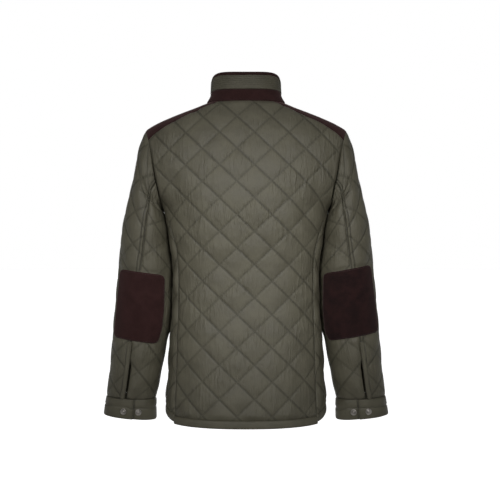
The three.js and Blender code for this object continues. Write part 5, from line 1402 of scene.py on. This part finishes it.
def taffeta(name, quilted):
    """Polyester taffeta: fine cross ribs, a slight sheen, stitch lines if quilted, and painted shade in
    grooves and furrows.
    """
    colours = bpy.context.scene.jacket_colours
    material, add = new_material(name)
    uv = add("UVMap", {"uv_map": "cloth"})
    clouds = add("TexNoise", None, uv, Scale=1 / (CLOUD * MM), Detail=4.0, Roughness=0.6)
    share = add("MapRange", SOFT, clouds, 0.3, 0.7)
    base = add("Mix", COLOURS, share, (*colours.olive, 1), (*colours.olive_light, 1))
    rough = add("MapRange", SOFT, clouds, 0.25, 0.75, 0.5, 0.62)
    ribs = add("TexWave", {"wave_type": "BANDS", "bands_direction": "Y"}, uv, Scale=WAVE / (RIBS * MM),
               Distortion=0.6, Detail=1.0).outputs["Fac"]
    grain = add("TexNoise", None, uv, Scale=1 / (GRAIN * MM), Detail=2.0)
    height = add("Math", ADD, add("Math", MULTIPLY, ribs, RIB_HIGH * MM),
                 add("Math", MULTIPLY, grain, GRAIN_HIGH * MM))
    if quilted:
        base, height = quilting(add, uv, base, height)
    row = WRINKLES[quilted]
    wrinkle = add("TexNoise", None, uv, Scale=1 / (row["size"] * MM), Detail=3.0)
    height = add("Math", ADD, height, add("Math", MULTIPLY, wrinkle, row["high"] * MM))
    nearness = add("Attribute", {"attribute_name": "seam_nearness"}).outputs["Fac"]
    away = add("Math", MULTIPLY, add("Math", SUBTRACT, 1.0, nearness), SEAM_REACH)
    # Painted shade in the furrows: the two topstitch rows beside a quilted seam, and the cuff's overlap and
    # fold on plain cloth.
    for line in (TRIM_IN, TRIM_IN + DOUBLE_ROW) if quilted else (0.0,):
        off = add("Math", ABSOLUTE, add("Math", SUBTRACT, away, line))
        furrow = add("MapRange", SOFT, off, *FURROW_EDGE, 1.0, 0.0)
        dark = add("Math", MULTIPLY, furrow, FURROW_SHADE)
        base = add("Mix", COLOURS, dark, base, (*colours.olive_deep, 1))
        height = add("Math", SUBTRACT, height, add("Math", MULTIPLY, furrow, FURROW_DEEP * MM))
    bump = add("Bump", None, Strength=1.0, Distance=1.0, Height=height)
    shader = add("BsdfPrincipled", None, Base_Color=base, Roughness=rough, Specular_IOR_Level=0.3,
                 Normal=bump)
    add("OutputMaterial", None, shader)
    return material


# Patterns of the moleskin and how high they stand, in millimetres. Its nap is drawn coarser than the real
# one, as coarse as it needs to show.
PATCHY_NAP, NAP, PATCHY_HIGH, NAP_HIGH = 26.316, 1.613, 0.5, 0.4


def moleskin(name, dark, pale):
    """Brushed cotton moleskin: a short dense nap, almost without gloss, that catches light edge on."""
    colours = bpy.context.scene.jacket_colours
    material, add = new_material(name)
    uv = add("UVMap", {"uv_map": "cloth"})
    clouds = add("TexNoise", None, uv, Scale=1 / (PATCHY_NAP * MM), Detail=5.0, Roughness=0.65)
    nap = add("TexNoise", None, uv, Scale=1 / (NAP * MM), Detail=3.0, Roughness=0.7)
    share = add("Math", ADD, add("Math", MULTIPLY, clouds, 0.6), add("Math", MULTIPLY, nap, 0.4))
    base = add("Mix", COLOURS, add("MapRange", SOFT, share, 0.35, 0.65), (*getattr(colours, dark), 1),
               (*getattr(colours, pale), 1))
    height = add("Math", ADD, add("Math", MULTIPLY, nap, NAP_HIGH * MM),
                 add("Math", MULTIPLY, clouds, PATCHY_HIGH * MM))
    bump = add("Bump", None, Strength=1.0, Distance=1.0, Height=height)
    shader = add("BsdfPrincipled", None, Base_Color=base, Roughness=0.95, Specular_IOR_Level=0.15,
                 Sheen_Weight=0.12, Sheen_Roughness=0.45, Sheen_Tint=(0.75, 0.5, 0.48, 1), Normal=bump)
    add("OutputMaterial", None, shader)
    return material


# Size of the parts that the snap caps are rubbed in, and of the thread's fibres, in millimetres.
RUBBED, FIBRES = 11.111, 1.111


def gunmetal(name):
    """Plated steel snap caps: dark, smooth, and rubbed brighter in places."""
    material, add = new_material(name)
    place = add("TexCoord").outputs["Object"]
    rubbed = add("TexNoise", None, place, Scale=1 / (RUBBED * MM), Detail=1.0)
    share = add("MapRange", SOFT, rubbed, 0.4, 0.7)
    base = add("Mix", COLOURS, share, colour("#827e79"), colour("#a29e99"))
    rough = add("MapRange", SOFT, rubbed, 0.3, 0.7, 0.42, 0.48)
    shader = add("BsdfPrincipled", None, Base_Color=base, Metallic=1.0, Roughness=rough)
    add("OutputMaterial", None, shader)
    return material


def thread(name, dark, pale):
    """Spun polyester thread: matt, a little hairy, uneven in colour along its fibres."""
    colours = bpy.context.scene.jacket_colours
    material, add = new_material(name)
    place = add("TexCoord").outputs["Object"]
    fibres = add("TexNoise", None, place, Scale=1 / (FIBRES * MM), Detail=2.0)
    base = add("Mix", COLOURS, add("MapRange", SOFT, fibres, 0.35, 0.65), (*getattr(colours, dark), 1),
               (*getattr(colours, pale), 1))
    add("OutputMaterial", None, add("BsdfPrincipled", None, Base_Color=base, Roughness=0.7))
    return material


# What makes each material, and what that is given. The shaded moleskin is the brown one made darker:
# painted shade, for the look of nap that lies away from the eye.
QUILTED, PLAIN = "olive_quilted_taffeta", "olive_plain_taffeta"
BROWN, SHADED_MOLESKIN = "brown_brushed_moleskin", "brown_moleskin_nap_down"
OLIVE_THREAD, BROWN_THREAD = "olive_polyester_thread", "brown_polyester_thread"
SNAP_METAL = "gunmetal_plated_steel"
MAKERS = {
    QUILTED: (taffeta, True),
    PLAIN: (taffeta, False),
    BROWN: (moleskin, "brown", "brown_light"),
    SHADED_MOLESKIN: (moleskin, "brown_deep", "brown"),
    OLIVE_THREAD: (thread, "olive_deep", "thread"),
    BROWN_THREAD: (thread, "brown", "brown_light"),
    SNAP_METAL: (gunmetal,),
}


def material_of(name):
    """The material of that name, made when it is first asked for."""
    make, *given = MAKERS[name]
    return bpy.data.materials.get(name) or make(name, *given)


# What a user would change


def hex_property(name, description, hex_text):
    return FloatVectorProperty(name=name, description=description, subtype="COLOR", size=3, min=0, max=1,
                               default=colour(hex_text)[:3])


class JacketSizes(bpy.types.PropertyGroup):
    puff: FloatProperty(name="Puff", description="Height of the padding between stitch lines, in millimetres",
                        default=4.2, min=0, max=8)
    stitch: FloatProperty(name="Stitch", description="Length of one topstitch and its gap, in millimetres",
                          default=3.4, min=1.5, max=6)
    camera_distance: FloatProperty(name="Camera distance", description="How far away the jacket is seen from",
                                   default=1.8, min=0.5, max=5, unit="LENGTH")


class JacketColours(bpy.types.PropertyGroup):
    olive: hex_property("Olive", "Colour of the taffeta", "#464337")
    olive_light: hex_property("Light olive", "The taffeta's paler clouds", "#4f4c3f")
    # Painted shade in the stitch grooves and seam furrows, and the darker fibres of the olive thread.
    olive_deep: hex_property("Deep olive", "The taffeta down in its stitch lines", "#23221a")
    thread: hex_property("Thread", "Colour of the stitching", "#4a4738")
    brown: hex_property("Brown", "Colour of the moleskin", "#241312")
    # Painted shade: the moleskin darker, as nap lying away from the eye looks, for the right elbow patch.
    brown_deep: hex_property("Deep brown", "Moleskin with its nap lying away from the eye", "#140a0a")
    brown_light: hex_property("Light brown", "Moleskin where its nap is brushed up", "#2d1a19")


# One operator for each piece or group of like pieces


class JACKET_OT_back(bpy.types.Operator):
    """Sew the quilted back panel"""

    bl_idname = "jacket.back"
    bl_label = "Back panel"

    def execute(self, context):
        back_panel(material_of(QUILTED))
        return {"FINISHED"}


class JACKET_OT_fronts(bpy.types.Operator):
    """Sew both quilted fronts and the placket over their meeting edges"""

    bl_idname = "jacket.fronts"
    bl_label = "Fronts and placket"

    def execute(self, context):
        for side in SIDES:
            front_panel(side, material_of(QUILTED))
        placket(material_of(PLAIN))
        return {"FINISHED"}


class JACKET_OT_yokes(bpy.types.Operator):
    """Sew the brown shoulder yokes"""

    bl_idname = "jacket.yokes"
    bl_label = "Yokes"

    def execute(self, context):
        for side in SIDES:
            yoke(side, material_of(BROWN))
        return {"FINISHED"}


class JACKET_OT_hems(bpy.types.Operator):
    """Sew the plain hem bands"""

    bl_idname = "jacket.hems"
    bl_label = "Hem bands"

    def execute(self, context):
        back_band(material_of(PLAIN))
        for side in SIDES:
            front_band(side, material_of(PLAIN))
        return {"FINISHED"}


class JACKET_OT_collar(bpy.types.Operator):
    """Sew the stand, the upper collar and its facing"""

    bl_idname = "jacket.collar"
    bl_label = "Collar"

    def execute(self, context):
        collar_stand(material_of(BROWN))
        collar_upper(material_of(PLAIN))
        collar_facing(material_of(BROWN))
        return {"FINISHED"}


class JACKET_OT_sleeves(bpy.types.Operator):
    """Sew the top and under sleeves, their patches and vent strips"""

    bl_idname = "jacket.sleeves"
    bl_label = "Sleeves"

    def execute(self, context):
        front_seam = math.radians(FRONT_SLEEVE_SEAM)
        for side in SIDES:
            sleeve_panel("top", side, lambda v: np.full(len(v), front_seam), back_seam_turn, 0.0,
                         material_of(QUILTED))
            sleeve_panel("under", side, back_seam_turn, lambda v: np.full(len(v), front_seam + 2 * math.pi),
                         math.pi, material_of(QUILTED), 1.0)
            # The right patch takes the darker moleskin: painted shade for nap lying away from the eye.
            elbow_patch(side, material_of(BROWN if side > 0 else SHADED_MOLESKIN))
            vent_strip(side, material_of(PLAIN))
        return {"FINISHED"}


class JACKET_OT_cuffs(bpy.types.Operator):
    """Sew the cuffs"""

    bl_idname = "jacket.cuffs"
    bl_label = "Cuffs"

    def execute(self, context):
        for side in SIDES:
            cuff(side, material_of(PLAIN))
        return {"FINISHED"}


class JACKET_OT_snaps(bpy.types.Operator):
    """Set the snaps on the cuffs and the placket"""

    bl_idname = "jacket.snaps"
    bl_label = "Snaps"

    def execute(self, context):
        for side in SIDES:
            for number, turned in zip(CUFF_SNAPS["number"], CUFF_SNAPS["turned"]):
                cuff_snap(side, int(number), turned, material_of(SNAP_METAL))
        for number in range(1, FRONT_SNAPS + 1):
            front_snap(number, material_of(SNAP_METAL))
        return {"FINISHED"}


class JACKET_OT_stitching(bpy.types.Operator):
    """Topstitch the collar, hems, placket, yokes, sleeves, patches and cuffs"""

    bl_idname = "jacket.stitching"
    bl_label = "Stitching"

    def execute(self, context):
        sew_collar(material_of(OLIVE_THREAD), material_of(BROWN_THREAD))
        sew_hems(material_of(OLIVE_THREAD))
        sew_placket(material_of(OLIVE_THREAD))
        sew_yokes(material_of(BROWN_THREAD))
        sew_sleeves(material_of(OLIVE_THREAD))
        sew_patches(material_of(BROWN_THREAD))
        sew_cuffs(material_of(OLIVE_THREAD))
        return {"FINISHED"}


class JACKET_OT_stage(bpy.types.Operator):
    """Set the floor, the soft lights and the camera"""

    bl_idname = "jacket.stage"
    bl_label = "Stage"

    def execute(self, context):
        floor()
        lights()
        camera()
        return {"FINISHED"}


# Stage: places in metres, angles in degrees

FLOOR_LEVEL, FLOOR_SIDES, FLOOR_RADIUS = -1.45, 96, 40.0
CAMERA_LEVEL = -0.343
CAMERA_ASIDE = -0.0094
MM_PER_PIXEL = 2.35
PICTURE = 500
ROOM_LIGHT = 0.17
SOFT_ANGLE = 38
KEY_PLACES = {"key_left": (0.72, 2.1, 0.3), "key_right": (-0.78, 2.1, 0.3)}
KEY_AIM = (-0.01, 0.1, -0.34)
KEY_POWER, KEY_SIZE, KEY_HALF_ANGLE = 135.0, 0.3, 14.4
SIDE_LIGHT, TOP_LIGHT, FRONT_LIGHT = 0.1, 0.25, 1.5
# The floor glows beyond the jacket, between these places along y, and the room is bright straight behind it,
# between these cosines of the angle from there.
FLOOR_GLOW, GLOW_EDGE = 0.8, (-1.5, -0.9)
BACKDROP_EDGE = (0.8, 0.9)


def floor():
    """A pale sheet far below, white where it is looked at and behind the jacket, that throws little light."""
    bm = bmesh.new()
    bmesh.ops.create_circle(bm, cap_ends=True, segments=FLOOR_SIDES, radius=FLOOR_RADIUS)
    bmesh.ops.translate(bm, vec=(0, 0, FLOOR_LEVEL), verts=bm.verts)
    mesh = bpy.data.meshes.new("floor")
    bm.to_mesh(mesh)
    bm.free()
    material, add = new_material("white_back_lit_acrylic")
    toward = add("SeparateXYZ", None, add("TexCoord").outputs["Object"]).outputs["Y"]
    seen = add("Math", MULTIPLY, add("LightPath").outputs["Is Camera Ray"], FLOOR_GLOW)
    glow = add("Math", MAXIMUM, add("MapRange", SOFT, toward, *GLOW_EDGE, FLOOR_GLOW, 0.0), seen)
    shader = add("BsdfPrincipled", None, Base_Color=colour("#f2f2f1"), Roughness=0.9,
                 Emission_Color=(1, 1, 1, 1), Emission_Strength=glow)
    add("OutputMaterial", None, shader)
    mesh.materials.append(material)
    object_of(mesh)


def lights():
    """Two large soft lamps beside the camera that fall off to the edges, weak even ones, and a pale room."""
    world = bpy.data.worlds.new("studio")
    bpy.context.scene.world = world
    world.use_nodes = True
    world.node_tree.nodes.clear()
    add = partial(add_node, world.node_tree)
    way = add("TexCoord").outputs["Generated"]
    ahead = add("VectorMath", {"operation": "DOT_PRODUCT"}, way, (0, -1, 0))
    seen = add("LightPath").outputs["Is Camera Ray"]
    strength = add("Math", MAXIMUM, add("MapRange", SOFT, ahead, *BACKDROP_EDGE, ROOM_LIGHT, 1.0), seen)
    add("OutputWorld", None, add("Background", None, (1, 1, 1, 1), strength))
    for name, place in KEY_PLACES.items():
        lamp = bpy.data.lights.new(name, "SPOT")
        lamp.energy, lamp.shadow_soft_size = KEY_POWER, KEY_SIZE
        lamp.spot_size, lamp.spot_blend = math.radians(2 * KEY_HALF_ANGLE), 1.0
        key = object_of(lamp)
        key.location = place
        key.rotation_euler = (Vector(KEY_AIM) - Vector(place)).to_track_quat("-Z", "Y").to_euler()
    soft_light("side_light", 55, 14, SIDE_LIGHT)
    soft_light("top_light", 0, 78, TOP_LIGHT)
    soft_light("front_light", 180, 4, FRONT_LIGHT)


def soft_light(name, aside, up, strength):
    """A wide, even light, by its angle from the camera's side to the wearer's left and its height."""
    light = bpy.data.lights.new(name, "SUN")
    light.energy, light.angle = strength, math.radians(SOFT_ANGLE)
    object_of(light).rotation_euler = (math.radians(90 - up), 0, math.radians(180 - aside))


def camera():
    lens = bpy.data.cameras.new("camera")
    distance = bpy.context.scene.jacket_sizes.camera_distance
    width = PICTURE * MM_PER_PIXEL * MM
    lens.angle = 2 * math.atan(width / 2 / distance)
    lens.sensor_fit = "AUTO"
    seen = object_of(lens)
    seen.location = (CAMERA_ASIDE, distance, CAMERA_LEVEL)
    seen.rotation_euler = (math.pi / 2, 0, math.pi)
    bpy.context.scene.camera = seen
    bpy.context.scene.view_settings.view_transform = "Standard"


class JACKET_PT_panel(bpy.types.Panel):
    bl_label = "Quilted jacket"
    bl_idname = "JACKET_PT_panel"
    bl_space_type = "VIEW_3D"
    bl_region_type = "UI"
    bl_category = "Jacket"

    def draw(self, context):
        for group in (context.scene.jacket_sizes, context.scene.jacket_colours):
            for name in group.bl_rna.properties.keys():
                if name not in ("rna_type", "name"):
                    self.layout.prop(group, name)
        for operator in OPERATORS:
            self.layout.operator(operator.bl_idname)


OPERATORS = (JACKET_OT_back, JACKET_OT_fronts, JACKET_OT_yokes, JACKET_OT_hems, JACKET_OT_collar,
             JACKET_OT_sleeves, JACKET_OT_cuffs, JACKET_OT_snaps, JACKET_OT_stitching, JACKET_OT_stage)
CLASSES = (JacketSizes, JacketColours, *OPERATORS, JACKET_PT_panel)


def register():
    for item in CLASSES:
        bpy.utils.register_class(item)
    bpy.types.Scene.jacket_sizes = PointerProperty(type=JacketSizes)
    bpy.types.Scene.jacket_colours = PointerProperty(type=JacketColours)


def unregister():
    del bpy.types.Scene.jacket_colours
    del bpy.types.Scene.jacket_sizes
    for item in reversed(CLASSES):
        bpy.utils.unregister_class(item)


def main():
    register()
    for operator in OPERATORS:
        getattr(bpy.ops.jacket, operator.bl_idname.split(".")[1])()


if __name__ == "__main__":
    main()
